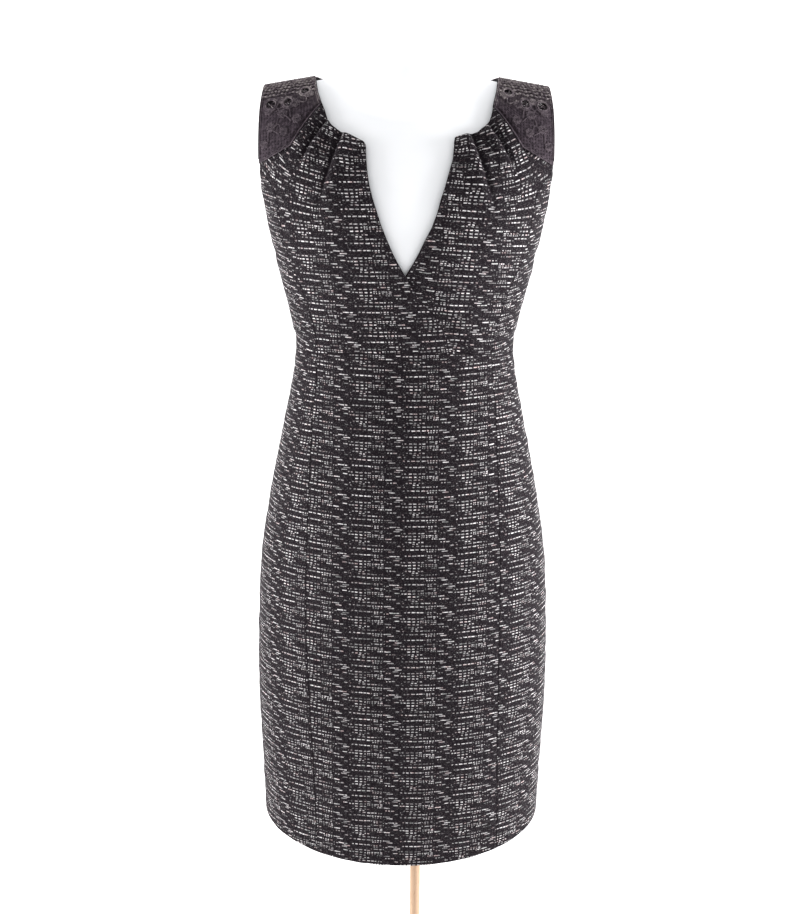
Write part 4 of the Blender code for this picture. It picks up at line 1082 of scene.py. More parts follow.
def beech(name="varnished beech", along="Z"):
    """Pale wood with fine grain lines along one axis and short darker flecks."""
    finish = Finish(name, 0.6)
    x, y, z = finish.parts(finish.object_place())

    def drawn_out(share):
        """Places with only a share of the way along the grain, which draws out what lies on them."""
        return finish.point(x * share, y, z) if along == "X" else finish.point(x, y, z * share)

    bands = finish.noise(drawn_out(0.06), 90.0, 3.0, 0.6, 0.4)
    fibres = finish.noise(drawn_out(0.06), 900.0, 2.0)
    flecks = finish.noise(drawn_out(0.25), 620.0, 1.0)
    colour = finish.colours(bands.between(0.3, 0.7), (0.50, 0.355, 0.25), (0.43, 0.29, 0.195))
    colour = finish.colours(fibres.between(0.45, 0.75, 0.0, 0.35), colour, (0.38, 0.24, 0.15))
    colour = finish.colours(flecks.between(0.64, 0.72, 0.0, 0.55), colour, (0.27, 0.16, 0.09))
    finish.set(base_color=colour, roughness=fibres.between(0.3, 0.7, 0.54, 0.70))
    finish.set(normal=finish.bump(fibres, 0.00006, 0.5), specular_ior_level=0.08)
    return finish.material


def dark_metal():
    finish = Finish("dark satin metal", 0.34, 1.0)
    metal_wear_and_lace_light = finish.noise(finish.object_place(), 700.0, 3.0)
    colour = finish.colours(metal_wear_and_lace_light.between(0.45, 0.7), (0.022, 0.022, 0.025), (0.070, 0.070, 0.076))
    finish.set(base_color=colour, roughness=metal_wear_and_lace_light.between(0.3, 0.7, 0.26, 0.44))
    return finish.material


def woven_tape():
    finish = Finish("black zip tape", 0.85)
    x, _, z = finish.parts(finish.object_place())
    woven = (x + z).wave(0.0009) * (z - x).wave(0.0011)
    colour = finish.colours(woven.between(-1, 1), (0.008, 0.008, 0.009), (0.030, 0.028, 0.031))
    finish.set(base_color=colour, normal=finish.bump(woven, 0.0001, 0.6), sheen_weight=0.2)
    return finish.material


def pale_stage():
    finish = Finish("pale studio paper", 0.95)
    cloud = finish.noise(finish.object_place(), 0.8, 1.0)
    finish.set(base_color=finish.colours(cloud, (0.92, 0.92, 0.92), (0.94, 0.94, 0.94)))
    return finish.material


# ------------------------------------------------------------------ form and stand
FORM_CLEARANCE = 0.0072  # of the form's skin inside the cloth's outer face
FORM_SEAT = 0.0022  # and below its shoulder, where the dress lies on it
FORM_SHOULDER = 0.158  # half its greatest width
FORM_BOTTOM_Z = 0.800
FORM_VOXEL = 0.0042
FORM_SMOOTHING = 8
Turned = namedtuple("Turned", "radius height")
FORM_NECK = (
    Turned(0.0, 1.478), Turned(0.0440, 1.478), Turned(0.0480, 1.4778), Turned(0.0510, 1.4765),
    Turned(0.0522, 1.473), Turned(0.0526, 1.462), Turned(0.0530, 1.450), Turned(0.0545, 1.443),
    Turned(0.0565, 1.438), Turned(0.0600, 1.432), Turned(0.0640, 1.427), Turned(0.0700, 1.421),
    Turned(0.0760, 1.416), Turned(0.0800, 1.400), Turned(0.0700, 1.370), Turned(0.0, 1.350),
)
POLE_RADIUS = 0.007
POLE_FIT = 0.0003  # around the pole and at its ends
POLE_IN_FORM = 0.060
POLE_FOOT_Z = 0.012
BASE_RADIUS = 0.215
BASE_THICK = 0.024
BOSS_RADIUS = 0.030  # of the rise in the base's middle that holds the pole
BOSS_TOP_Z = 0.042
COLLAR_RADIUS = 0.024
COLLAR_HEIGHT = 0.020


def plain_mesh(thing, name):
    """What the modifiers make of an object, as a mesh of its own. The object goes."""
    graph = bpy.context.evaluated_depsgraph_get()
    mesh = bpy.data.meshes.new_from_object(thing.evaluated_get(graph), depsgraph=graph)
    bpy.data.objects.remove(thing)
    mesh.name = name
    return new_object(name, mesh)


def turned_object(name, profile, steps=96, middle_x=0.0):
    """A profile of (radius, height) turned about an upright axis, from its top down its outer side."""
    bm = bmesh.new()
    ring = [bm.verts.new((radius, 0, height)) for radius, height in profile]
    edges = [bm.edges.new(pair) for pair in zip(ring, ring[1:])]
    bmesh.ops.spin(
        bm, geom=ring + edges, axis=(0, 0, 1), cent=(0, 0, 0), angle=2 * math.pi, steps=steps,
        use_merge=True,
    )
    bmesh.ops.remove_doubles(bm, verts=bm.verts, dist=1e-6)
    bmesh.ops.dissolve_degenerate(bm, edges=bm.edges, dist=1e-7)
    bmesh.ops.recalc_face_normals(bm, faces=bm.faces)
    bmesh.ops.translate(bm, verts=bm.verts, vec=(middle_x, 0, 0))
    mesh = bpy.data.meshes.new(name)
    bm.to_mesh(mesh)
    bm.free()
    mesh.shade_smooth()
    return new_object(name, mesh)


def rounded(corners, radius, steps=4):
    """A profile with its corners cut round. The first and the last corner stay."""
    made = [corners[0]]
    for before, corner, after in zip(corners, corners[1:], corners[2:]):
        corner = np.array(corner)
        back, on = np.array(before) - corner, np.array(after) - corner
        reach = min(radius, np.linalg.norm(back) / 2.2, np.linalg.norm(on) / 2.2)
        start = corner + back / np.linalg.norm(back) * reach
        end = corner + on / np.linalg.norm(on) * reach
        for t in np.linspace(0, 1, steps):
            made.append(tuple((1 - t) ** 2 * start + 2 * t * (1 - t) * corner + t**2 * end))
    return made + [corners[-1]]


def form_body():
    """The trunk of the form, inside the dress, from its foot to the ridge of the shoulders."""
    below, above = np.linspace(FORM_BOTTOM_Z, CHEST_Z, 90), np.linspace(CHEST_Z, NECK_POINT_Z, 40)
    heights = np.concatenate([below, above[1:]])
    turn, run = np.meshgrid(np.linspace(-math.pi, math.pi, 128, endpoint=False), run_at(heights))
    points = skin(turn, run, FORM_CLEARANCE, FORM_SEAT, FORM_SHOULDER)
    rows, columns = points.shape[:2]
    faces = [list(range(columns))[::-1]]
    for r in range(rows - 1):
        for c in range(columns):
            low, high, after = r * columns, (r + 1) * columns, (c + 1) % columns
            faces.append([low + c, low + after, high + after, high + c])
    mesh = bpy.data.meshes.new("form_body")
    mesh.from_pydata((points.reshape(-1, 3) + np.array([MIDDLE_X, 0, 0])).tolist(), [], faces)
    bm = bmesh.new()
    bm.from_mesh(mesh)
    bmesh.ops.remove_doubles(bm, verts=bm.verts, dist=1e-5)
    bmesh.ops.dissolve_degenerate(bm, edges=bm.edges, dist=1e-5)
    bm.to_mesh(mesh)
    bm.free()
    return new_object("form_body", mesh)


def form_cover(material):
    """The smooth moulded form, one skin from its neck to its foot, with a bore for the pole."""
    body = form_body()
    neck = turned_object("form_neck", FORM_NECK, 96, MIDDLE_X)
    inner = POLE_RADIUS + POLE_FIT
    top, low = FORM_BOTTOM_Z + POLE_IN_FORM + POLE_FIT, FORM_BOTTOM_Z - 0.02
    bore = turned_object("pole_bore", ((0, top), (inner, top), (inner, low), (0, low)), 48)
    join = body.modifiers.new("neck", "BOOLEAN")
    join.operation = "UNION"
    join.object = neck
    grid = body.modifiers.new("even", "REMESH")
    grid.mode = "VOXEL"
    grid.voxel_size = FORM_VOXEL
    soft = body.modifiers.new("soft", "SMOOTH")
    soft.factor = 0.5
    soft.iterations = FORM_SMOOTHING
    body = plain_mesh(body, "form_torso_cover")
    drill = body.modifiers.new("bore", "BOOLEAN")
    drill.operation = "DIFFERENCE"
    drill.object = bore
    body = plain_mesh(body, "form_torso_cover")
    for helper in (neck, bore):
        bpy.data.objects.remove(helper)
    body.data.shade_smooth()
    body.data.materials.clear()
    body.data.materials.append(material)
    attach(body, "root")
    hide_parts("form_torso")
    return body


def stand(wood, flat_wood):
    inner = POLE_RADIUS + POLE_FIT
    seat = FORM_BOTTOM_Z - POLE_FIT
    top = FORM_BOTTOM_Z + POLE_IN_FORM
    foot = POLE_FOOT_Z + POLE_FIT
    low = seat - COLLAR_HEIGHT
    pole = [(0, top), (POLE_RADIUS, top), (POLE_RADIUS, foot), (0, foot)]
    collar = [
        (inner, seat), (COLLAR_RADIUS, seat), (COLLAR_RADIUS, seat - 0.008),
        (COLLAR_RADIUS - 0.008, low + 0.003), (COLLAR_RADIUS - 0.010, low), (inner, low), (inner, seat),
    ]
    base = [
        (0, POLE_FOOT_Z), (inner, POLE_FOOT_Z), (inner, BOSS_TOP_Z), (BOSS_RADIUS - 0.009, BOSS_TOP_Z),
        (BOSS_RADIUS, BASE_THICK + 0.001), (BASE_RADIUS - 0.004, BASE_THICK),
        (BASE_RADIUS, BASE_THICK - 0.008), (BASE_RADIUS, 0.0), (0, 0),
    ]
    for node, corners, rounding, material in (
        ("form_pole", pole, 0.0012, wood),
        ("form_collar", collar, 0.0022, wood),
        ("form_base", base, 0.003, flat_wood),
    ):
        thing = turned_object(node + "_turned", rounded(corners, rounding))
        thing.data.materials.append(material)
        thing.modifiers.new("crisp", "WEIGHTED_NORMAL")
        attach(thing, "root")
        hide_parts(node)


# ------------------------------------------------------------------ lace yokes
LACE_LIFT = LAYER_GAP
YOKE_WIDTH = 0.070
YOKE_LENGTH = 0.200
NET_THICK = 0.0007
NET_CELL = 0.00115
NET_INSET = 0.0010
OPEN_FROM_WAY = -0.045  # the net has more small openings from here back over the shoulder
RING_REACH = 0.55  # of a cell: the net's points this near to an open ring lie on it
RING_RIM = 1.3  # and the net is closed around the ring, up to this share of its size
CORD_SUNK = 0.6  # of its thickness, that a cord's middle stands above the net
CORD_STEP = 0.0011  # between the rounds of points along a cord
CORD_SIDES = 6
Border = namedtuple("Border", "inset thick wave")
BORDERS = (Border(0.0012, 0.00075, 0.0), Border(0.0032, 0.00055, 0.0007))  # cords along the yoke's edges
BORDER_WAVES = 13
SIDE_BORDER_THICK = 0.8  # of the same cord's thickness across the yoke
RIDGE_ROW_WAYS = (
    -0.0465, -0.0395, -0.0325, -0.0255, -0.0185, -0.0120, -0.0060, 0.0, 0.0055, 0.0110, 0.0165, 0.0220,
    0.0275, 0.0330, 0.0385, 0.0440, 0.0495, 0.0550, 0.0605, 0.0660,
)
ROW_END_GAP = 0.002
ROW_WAVE = 0.0008
ROW_WAVE_LONG = 0.0117
ROW_CLEAR = 1.25  # the rows stop at this share of an open ring's size
ROW_THICK = 0.00105
BEAD_SWELL = 0.00045
BEAD_LONG = 0.0046
RING_CORDS = ((1.08, 0.00115), (1.42, 0.00080))  # around each open ring: share of its size, and thickness
BAR_LEANS = (0.35, 1.40)  # two thin threads cross the ring
BAR_THICK = 0.00032
LOWER_EDGE_LONG = 0.075
STITCH_PITCH = 0.0042
STITCH_THICK = 0.00022
STITCH_OUT = (-0.0022, -0.0010, 0.0004, 0.0010)  # a stitch's points out past the edge, along it
STITCH_ALONG = (0.0, 0.0002, 0.0005, 0.0007)
STITCH_LIFT = (0.0010, 0.0014, 0.0008, 0.0001)  # and above the tweed
Rosette = namedtuple("Rosette", "x way radius")
ROSETTES = (
    Rosette(0.1120, -0.0530, 0.0052), Rosette(0.1275, -0.0640, 0.0056), Rosette(0.1450, -0.0570, 0.0050),
    Rosette(0.1420, -0.0770, 0.0054), Rosette(0.1590, -0.0720, 0.0048), Rosette(0.1250, -0.0850, 0.0050),
    Rosette(0.1560, -0.0930, 0.0054), Rosette(0.1400, -0.0980, 0.0048), Rosette(0.1630, -0.1120, 0.0046),
)
Petals = namedtuple("Petals", "share waves depth")
ROSETTE_ROUNDS = (Petals(0.30, 0, 0.0), Petals(0.62, 0, 0.0), Petals(0.90, 7, 0.14))
PETAL_THICK = 0.00075
STEM_START = 0.22  # as shares of the way from one rosette's middle to the next one's
STEM_END = 0.78
STEM_BOW = 0.35
STEM_THICK = 0.00065


class LaceGround:
    """Places on a shoulder: way goes up the front, over the ridge at 0 and down the back."""

    def __init__(self, side):
        self.side = side
        self.neck = NECK_EDGE_UNDER if side > 0 else NECK_EDGE_OVER

    def at(self, x, way, lift):
        """Points above the cloth at these distances from the middle and ways from the ridge."""
        x, way = np.broadcast_arrays(np.asarray(x, float), np.asarray(way, float))
        front = way < 0
        run = TOP_RUN - RIDGE_GAP / 2 - np.abs(way)
        height = height_at(run)
        turn = np.where(front, turn_at(self.side * x, height), turn_at(self.side * x, height, back=True))
        base = skin(turn, run)
        normal = outward(turn, run)
        relief = np.where(front, pleat_relief(x, height, self.neck), 0.0)
        return base + normal * (relief + lift)[..., None]

    def inner_x(self, way):
        height = height_at(TOP_RUN - np.abs(way))
        front = edge_x(self.neck, np.maximum(height, LACE_CORNER_Z))
        return np.where(way < 0, front, edge_x(NECK_EDGE_BACK, height))

    def outer_x(self, way):
        height = height_at(TOP_RUN - np.abs(way))
        return smooth(SECTIONS, "half_width", height) * np.sin(armhole_turn(height))

    @staticmethod
    def front_way(x):
        """Where the lower front edge crosses this distance from the middle."""
        height = np.interp(x, column(LACE_LOWER_EDGE, "x"), column(LACE_LOWER_EDGE, "height"))
        return run_at(height) - TOP_RUN

    @staticmethod
    def back_way():
        return float(TOP_RUN - run_at(LACE_BACK_Z))

    def outline(self, across, along, inset):
        """The place at shares across and along the yoke, this far in from its edges."""
        across, along = np.broadcast_arrays(np.asarray(across, float), np.asarray(along, float))
        back = self.back_way() - inset
        way = back * along
        for _ in range(14):
            inner = self.inner_x(way) + inset
            outer = self.outer_x(way) - inset
            x = inner + (outer - inner) * across
            front = self.front_way(x) + inset
            way = front + (back - front) * along
        return x, way


def lace_holes():
    """Centres and half sizes of the open rings: x, way, half width and half length."""
    for hole in LACE_HOLES:
        way = (hole.degrees_over - 90) / 90 * ARCH_RUN
        yield hole.x, way, hole.width / 2, hole.length / 2


def lace_yoke(side, word, material):
    """The net: a fine shell with its small openings in a brick pattern, and the open rings."""
    ground = LaceGround(side)
    across = even_steps(0, 1, NET_CELL / YOKE_WIDTH)[None, :]
    along = even_steps(0, 1, NET_CELL / YOKE_LENGTH)[:, None]
    x, way = ground.outline(across, along, NET_INSET)
    for hole_x, hole_way, half_width, half_length in lace_holes():
        off_x, off_way = (x - hole_x) / half_width, (way - hole_way) / half_length
        size = np.maximum(np.hypot(off_x, off_way), 1e-6)
        near = np.abs(size - 1) < RING_REACH * NET_CELL / half_width
        x = np.where(near, hole_x + off_x / size * half_width, x)
        way = np.where(near, hole_way + off_way / size * half_length, way)
    points = ground.at(x, way, LACE_LIFT + NET_THICK)
    cell_x = (x[:-1, :-1] + x[1:, 1:]) / 2
    cell_way = (way[:-1, :-1] + way[1:, 1:]) / 2
    row, place = np.indices(cell_x.shape)
    open_work = (place % 2 == 1) & (row % 2 == (place // 2) % 2) & (cell_way > OPEN_FROM_WAY)
    dense_work = (place % 3 == 1) & (row % 3 == (place // 3) % 3)
    kept = ~(open_work | dense_work)
    kept[:2], kept[-2:], kept[:, :2], kept[:, -2:] = True, True, True, True
    for hole_x, hole_way, half_width, half_length in lace_holes():
        size = np.hypot((cell_x - hole_x) / half_width, (cell_way - hole_way) / half_length)
        kept &= size > 1
        kept |= (size > 1) & (size < RING_RIM)
    if side < 0:
        points, x, way, kept = points[:, ::-1], x[:, ::-1], way[:, ::-1], kept[:, ::-1]
    flat = np.stack([x * side, way], axis=-1)
    thing = cloth_object(f"lace_yoke_{word}_net", points, flat, NET_THICK, material, kept=kept)
    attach(thing, "root")
    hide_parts(f"lace_yoke_{word}")
    cut = (float(np.ptp(x)), cut_size(points)[0][1])
    area = min(cut_size(points)[1], cut[0] * cut[1])
    return thing


def rosette_lines(rosette):
    """Two rings, and a wavy round of petals about them."""
    around = np.linspace(0, 2 * math.pi, 43)
    for petals in ROSETTE_ROUNDS:
        radius = rosette.radius * (petals.share + petals.depth * np.cos(petals.waves * around))
        yield rosette.x + radius * np.cos(around), rosette.way + radius * np.sin(around)


def stem_line(start, end, bow):
    """A bowed cord from one rosette's rim to the next one's."""
    share = np.linspace(STEM_START, STEM_END, 14)
    dx, dw = end.x - start.x, end.way - start.way
    swing = bow * np.sin((share - STEM_START) / (STEM_END - STEM_START) * math.pi)
    x = start.x + dx * share - dw * swing
    way = start.way + dw * share + dx * swing
    return x, way


def border_lines(ground):
    across = np.linspace(0, 1, 80)
    along = np.linspace(0, 1, 170)
    for border in BORDERS:
        wobble = border.wave * np.sin(across * math.pi * 2 * BORDER_WAVES)
        for level in (0.0, 1.0):
            x, way = ground.outline(0.03 + 0.95 * across, level, border.inset)
            yield x, way + wobble, border.thick
        for level in (0.0, 1.0):
            x, way = ground.outline(level, 0.02 + 0.96 * along, border.inset)
            yield x, way, border.thick * SIDE_BORDER_THICK


def ridge_row_lines(ground):
    """The beaded rows over the shoulder, each in parts between the open rings."""
    for n, level in enumerate(RIDGE_ROW_WAYS):
        inner, outer = float(ground.inner_x(level)), float(ground.outer_x(level))
        x = np.linspace(inner + ROW_END_GAP, outer - ROW_END_GAP, 130)
        way = level + ROW_WAVE * np.sin(x / ROW_WAVE_LONG * 2 * math.pi + n)
        thick = ROW_THICK + BEAD_SWELL * np.sin(x / BEAD_LONG * 2 * math.pi + 2.4 * n)
        clear = np.ones(len(x), bool)
        for hole_x, hole_way, half_width, half_length in lace_holes():
            clear &= np.hypot((x - hole_x) / half_width, (way - hole_way) / half_length) > ROW_CLEAR
        for part in np.split(np.arange(len(x)), np.flatnonzero(np.diff(clear.astype(int))) + 1):
            if clear[part[0]] and len(part) > 3:
                yield x[part], way[part], thick[part]


def ring_lines():
    """The rims of the open rings, and two threads across each."""
    around = np.linspace(0, 2 * math.pi, 41)
    share = np.linspace(-1.0, 1.0, 9)
    for n, (hole_x, hole_way, half_width, half_length) in enumerate(lace_holes()):
        for grown, thick in RING_CORDS:
            x = hole_x + half_width * grown * np.cos(around)
            yield x, hole_way + half_length * grown * np.sin(around), thick
        for lean in BAR_LEANS:
            x = hole_x + half_width * (share * math.cos(lean + n) + 0.18)
            yield x, hole_way + half_length * (share * math.sin(lean + n) * 0.9 - 0.1), BAR_THICK


def rosette_and_stem_lines():
    for rosette in ROSETTES:
        for x, way in rosette_lines(rosette):
            yield x, way, PETAL_THICK
    for n, (start, end) in enumerate(zip(ROSETTES, ROSETTES[1:])):
        x, way = stem_line(start, end, STEM_BOW if n % 2 else -STEM_BOW)
        yield x, way, STEM_THICK


def lace_lines(ground):
    """All cords of a yoke as (x, way, thickness)."""
    yield from border_lines(ground)
    yield from ridge_row_lines(ground)
    yield from ring_lines()
    yield from rosette_and_stem_lines()


def stitch_lines(ground):
    """Small stitches over the yoke's lower and back edges, from the lace down to the tweed."""
    for level, outwards in ((0.0, -1.0), (1.0, 1.0)):
        for share in even_steps(0.04, 0.96, STITCH_PITCH / LOWER_EDGE_LONG):
            x, way = ground.outline(share, level, 0.0)
            ways = float(way) + outwards * np.array(STITCH_OUT)
            yield float(x) + np.array(STITCH_ALONG), ways, LACE_LIFT + np.array(STITCH_LIFT)


def cord_tree():
    """Turns each run of edges into a round cord; its thickness is a named attribute of the points."""
    tree = bpy.data.node_groups.new("round cords", "GeometryNodeTree")
    face = tree.interface
    face.new_socket("Geometry", in_out="INPUT", socket_type="NodeSocketGeometry")
    step = face.new_socket("Step", in_out="INPUT", socket_type="NodeSocketFloat")
    sides = face.new_socket("Sides", in_out="INPUT", socket_type="NodeSocketInt")
    material = face.new_socket("Material", in_out="INPUT", socket_type="NodeSocketMaterial")
    face.new_socket("Geometry", in_out="OUTPUT", socket_type="NodeSocketGeometry")
    new = tree.nodes.new
    given, made = new("NodeGroupInput"), new("NodeGroupOutput")
    lines, resample = new("GeometryNodeMeshToCurve"), new("GeometryNodeResampleCurve")
    thick, attribute = new("GeometryNodeSetCurveRadius"), new("GeometryNodeInputNamedAttribute")
    circle, tube = new("GeometryNodeCurvePrimitiveCircle"), new("GeometryNodeCurveToMesh")
    finish, realise = new("GeometryNodeSetMaterial"), new("GeometryNodeRealizeInstances")
    resample.mode = "LENGTH"
    attribute.data_type = "FLOAT"
    attribute.inputs["Name"].default_value = "thick"
    circle.inputs["Radius"].default_value = 1.0
    tube.inputs["Fill Caps"].default_value = True
    for source, output, target, entry in (
        (given, "Geometry", lines, "Mesh"),
        (lines, "Curve", resample, "Curve"),
        (given, "Step", resample, "Length"),
        (resample, "Curve", thick, "Curve"),
        (attribute, "Attribute", thick, "Radius"),
        (thick, "Curve", tube, "Curve"),
        (given, "Sides", circle, "Resolution"),
        (circle, "Curve", tube, "Profile Curve"),
        (tube, "Mesh", realise, "Geometry"),
        (realise, "Geometry", finish, "Geometry"),
        (given, "Material", finish, "Material"),
        (finish, "Geometry", made, "Geometry"),
    ):
        tree.links.new(source.outputs[output], target.inputs[entry])
    if "Scale" in tube.inputs:
        tree.links.new(attribute.outputs["Attribute"], tube.inputs["Scale"])
    return tree, (step.identifier, sides.identifier, material.identifier)


def cord_object(name, lines, step, sides, material):
    """Round cords along lines of points, each line with its radius or radii, as one piece."""
    points, edges, thicks = [], [], []
    for placed, thick in lines:
        first = len(points)
        points += (placed + np.array([MIDDLE_X, 0, 0])).tolist()
        edges += [(first + n, first + n + 1) for n in range(len(placed) - 1)]
        thicks += np.broadcast_to(thick, len(placed)).tolist()
    mesh = bpy.data.meshes.new(name + "_lines")
    mesh.from_pydata(points, edges, [])
    radius = mesh.attributes.new("thick", "FLOAT", "POINT")
    radius.data.foreach_set("value", thicks)
    thing = new_object(mesh.name, mesh)
    tree, sockets = cord_tree()
    nodes = thing.modifiers.new("cords", "NODES")
    nodes.node_group = tree
    for socket, value in zip(sockets, (step, sides, material)):
        nodes[socket] = value
    thing = plain_mesh(thing, name)
    if not thing.data.materials:
        thing.data.materials.append(material)
    thing.data.shade_smooth()
    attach(thing, "root")
    return thing


def lace_cords(side, word, material):
    ground = LaceGround(side)
    lines = []
    for x, way, thick in lace_lines(ground):
        lines.append((ground.at(x, way, LACE_LIFT + NET_THICK + CORD_SUNK * thick), thick))
    for x, way, lift in stitch_lines(ground):
        lines.append((ground.at(x, way, lift), STITCH_THICK))
    return cord_object(f"lace_yoke_{word}_cords", lines, CORD_STEP, CORD_SIDES, material)


# ------------------------------------------------------------------ the zip's coil
COIL_DEPTH = 0.0042  # of its middle, below the back's outer face; the tape's inner face is at 3.2 mm
COIL_HALF_WIDTH = 0.0019
COIL_HALF_DEPTH = 0.0006
COIL_PITCH = 0.0013
COIL_WIRE = 0.00032
COIL_STEPS = 14  # points in one round of the coil
COIL_CORD_STEP = 0.0007
COIL_SIDES = 5
COIL_ABOVE_STOP = 0.006  # the coil ends this far from the two ends of the zip
COIL_BELOW_TOP = 0.012


def zip_coil(material):
    """The teeth of a concealed zip: one round of coil after another up the inside of the tape."""
    low, high = ZIP_BOTTOM_Z + COIL_ABOVE_STOP, ZIP_TOP_Z - COIL_BELOW_TOP
    count = round((high - low) / COIL_PITCH) * COIL_STEPS
    height = np.linspace(low, high, count)
    turn = np.full(count, math.pi)
    phase = np.arange(count) * 2 * math.pi / COIL_STEPS
    run = run_at(height)
    points = skin(turn, run) - outward(turn, run) * (COIL_DEPTH + COIL_HALF_DEPTH * np.sin(phase))[:, None]
    points[:, 0] += COIL_HALF_WIDTH * np.cos(phase)
    cord_object("zip_coil", [(points, COIL_WIRE)], COIL_CORD_STEP, COIL_SIDES, material)


# ------------------------------------------------------------------ stage, light and camera
CAMERA_PLACE = (-0.0248, -1.75, 1.46)
CAMERA_PITCH_DEGREES = 16.0
CAMERA_ROLL_DEGREES = 0.41
FOCAL_PIXELS = 1440.0
IMAGE_HEIGHT = 914
SENSOR = 36.0

Lamp = namedtuple("Lamp", "name place target size power")
LAMPS = (
    Lamp("left_softbox", (-2.5, -0.05, 1.35), (0, 0, 1.05), 1.4, 100),
    Lamp("right_softbox", (2.4, -0.05, 1.30), (0, 0, 1.05), 1.4, 128),
    Lamp("front_fill", (0.2, -3.4, 2.4), (0, 0, 1.0), 1.8, 2),
    Lamp("top", (0.3, 0.6, 3.0), (0, 0, 1.2), 1.4, 8),
    Lamp("paper_left", (-1.9, 1.6, 2.4), (-1.2, 3.6, 0.4), 1.6, 24),
    Lamp("paper_right", (1.9, 1.6, 2.4), (1.2, 3.6, 0.4), 1.6, 24),
)
WORLD_STRENGTH = 0.88
PAPER_HALF_WIDTH = 6.0
PAPER_BEND = 1.6  # radius, and how far behind the form the bend starts
PAPER_STEP = 0.5


def area_light(lamp):
    light = bpy.data.lights.new(lamp.name, "AREA")
    light.shape = "DISK"
    light.size = lamp.size
    light.energy = lamp.power
    thing = new_object(lamp.name, light)
    thing.location = lamp.place
    thing.rotation_euler = (Vector(lamp.target) - Vector(lamp.place)).to_track_quat("-Z", "Y").to_euler()


def studio():
    """A pale sweep of paper that runs up behind the form, and soft light from all round."""
    profile = [(-PAPER_HALF_WIDTH + PAPER_STEP * i, 0.0) for i in range(16)]
    for angle in np.linspace(0.1, math.pi / 2, 16):
        y, z = PAPER_BEND * math.sin(angle), PAPER_BEND * math.cos(angle)
        profile.append((PAPER_BEND + y, PAPER_BEND - z))
    profile += [(2 * PAPER_BEND, 2.0 + PAPER_STEP * i) for i in range(7)]
    mesh = bpy.data.meshes.new("paper_sweep")
    points = [(x, y, z) for y, z in profile for x in (-PAPER_HALF_WIDTH, PAPER_HALF_WIDTH)]
    faces = [(2 * i, 2 * i + 1, 2 * i + 3, 2 * i + 2) for i in range(len(profile) - 1)]
    mesh.from_pydata(points, [], faces)
    mesh.shade_smooth()
    mesh.materials.append(pale_stage())
    sweep = new_object("paper_sweep", mesh)
    world = bpy.data.worlds.new("soft studio")
    world.use_nodes = True
    background = world.node_tree.nodes["Background"]
    background.inputs["Color"].default_value = (1.0, 1.0, 1.0, 1.0)
    background.inputs["Strength"].default_value = WORLD_STRENGTH
    bpy.context.scene.world = world
    bpy.context.scene.view_settings.view_transform = "Standard"
    for lamp in LAMPS:
        area_light(lamp)


def camera():
    lens = bpy.data.cameras.new("camera")
    lens.sensor_fit = "VERTICAL"
    lens.sensor_height = SENSOR
    lens.lens = SENSOR * FOCAL_PIXELS / IMAGE_HEIGHT
    thing = new_object("camera", lens)
    level = math.pi / 2 - math.radians(CAMERA_PITCH_DEGREES)
    thing.matrix_world = (
        Matrix.Translation(CAMERA_PLACE)
        @ Matrix.Rotation(level, 4, "X")
        @ Matrix.Rotation(math.radians(CAMERA_ROLL_DEGREES), 4, "Z")
    )
    bpy.context.scene.camera = thing


# ------------------------------------------------------------------ the whole dress
FIRST_ROW_Z = 0.9111  # the weave's first row lies at this height on the front skirt
CHART_SHIFT = 0.0063  # and its repeat starts this far left of the middle
# Each is dark, lighter, and a pale tone painted near the ridge as light.
NET_COLOURS = ((0.022, 0.016, 0.021), (0.050, 0.038, 0.047), (0.070, 0.060, 0.062))
CORD_COLOURS = ((0.048, 0.038, 0.046), (0.098, 0.078, 0.090), (0.25, 0.22, 0.22))


def row_shift():
    return -float(climb(np.zeros((1, 1)), np.array([[FIRST_ROW_Z]]))[0, 0])


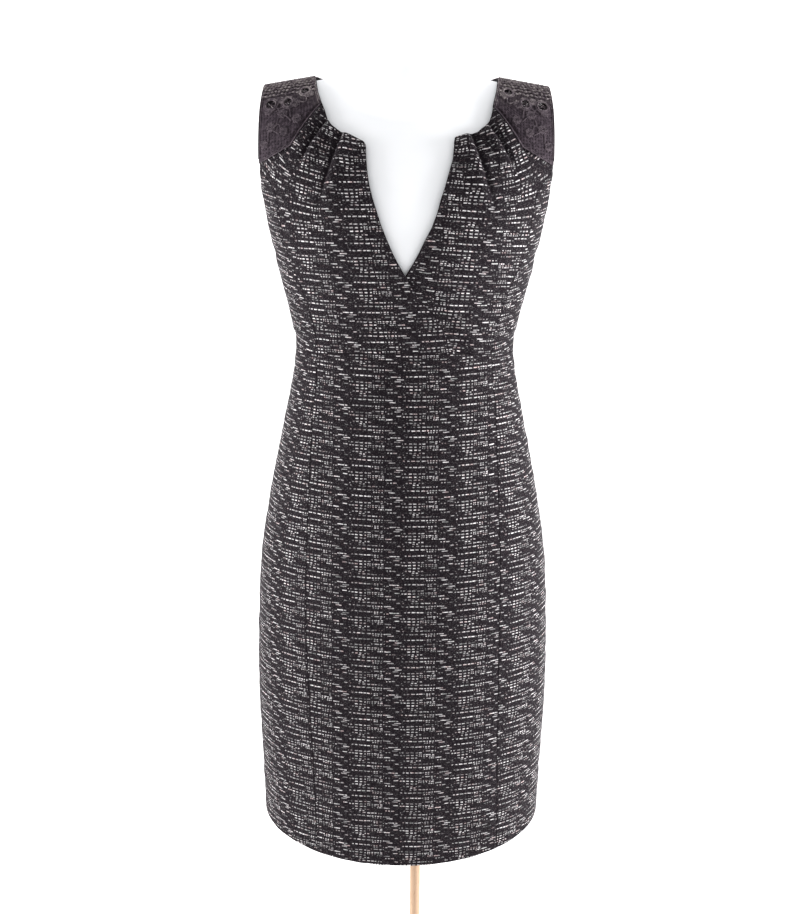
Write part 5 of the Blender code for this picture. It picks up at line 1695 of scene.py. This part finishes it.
def make_dress():
    """Each piece of the tweed has its lean and its two shifts on the length of cloth it is cut from."""
    cloth = tweed()
    form_cover(jersey())
    first = row_shift()
    for side, word, neck_edge, low_edge, relief, grain in (
        (-1, "over", NECK_EDGE_OVER, LAP_EDGE, over_relief, OVER_GRAIN),
        (1, "under", NECK_EDGE_UNDER, HIDDEN_EDGE, under_relief, UNDER_GRAIN),
    ):
        front_bodice(side, f"bodice_front_{word}_cloth", neck_edge, low_edge, relief, grain, cloth)
    for side, word in ((-1, "left"), (1, "right")):
        side_grain = turned_grain(side * -4.0, 0.02, first + 0.011)
        back_grain = turned_grain(0.0, 0.0, first + 0.007)
        side_bodice(side, f"bodice_side_front_{word}_cloth", side_grain, cloth)
        back_bodice(side, f"bodice_back_{word}_cloth", back_grain, cloth)
    straight = turned_grain(0.0, CHART_SHIFT, first)
    left_gore = turned_grain(-2.5, 0.010, first + 0.004)
    right_gore = turned_grain(2.5, 0.030, first - 0.006)
    back = turned_grain(0.0, 0.0, first)
    for name, left, right, grain_turn, grain in (
        ("skirt_front_cloth", left_skirt_seam, right_skirt_seam, 0.0, straight),
        ("skirt_side_front_left_cloth", LEFT_SIDE, left_skirt_seam, -SIDE_FRONT_TURN, left_gore),
        ("skirt_side_front_right_cloth", right_skirt_seam, RIGHT_SIDE, SIDE_FRONT_TURN, right_gore),
        ("skirt_back_right_cloth", RIGHT_SIDE, ZIP_LINE, ZIP_LINE, back),
        ("skirt_back_left_cloth", ZIP_LINE, LEFT_SIDE_FROM_BACK, ZIP_LINE, back),
    ):
        skirt_panel(name, left, right, grain_turn, grain, cloth)
    net = lace_finish("lace net", *NET_COLOURS, 0.03)
    cord = lace_finish("lace cord", *CORD_COLOURS, 0.05)
    for side, word in ((-1, "left"), (1, "right")):
        lace_cords(side, word, cord)
        lace_yoke(side, word, net)


def finish_cad_nodes():
    """The zip's tape, slider and pull keep their solids and get a better finish."""
    materials = {"zip_tape": woven_tape(), "zip_slider": dark_metal()}
    materials["zip_pull"] = materials["zip_slider"]
    zip_coil(materials["zip_tape"])
    for node, material in materials.items():
        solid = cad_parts[node]
        solid.data.materials.clear()
        solid.data.materials.append(material)


make_dress()
stand(beech(), beech("varnished beech board", "X"))
finish_cad_nodes()
studio()
camera()
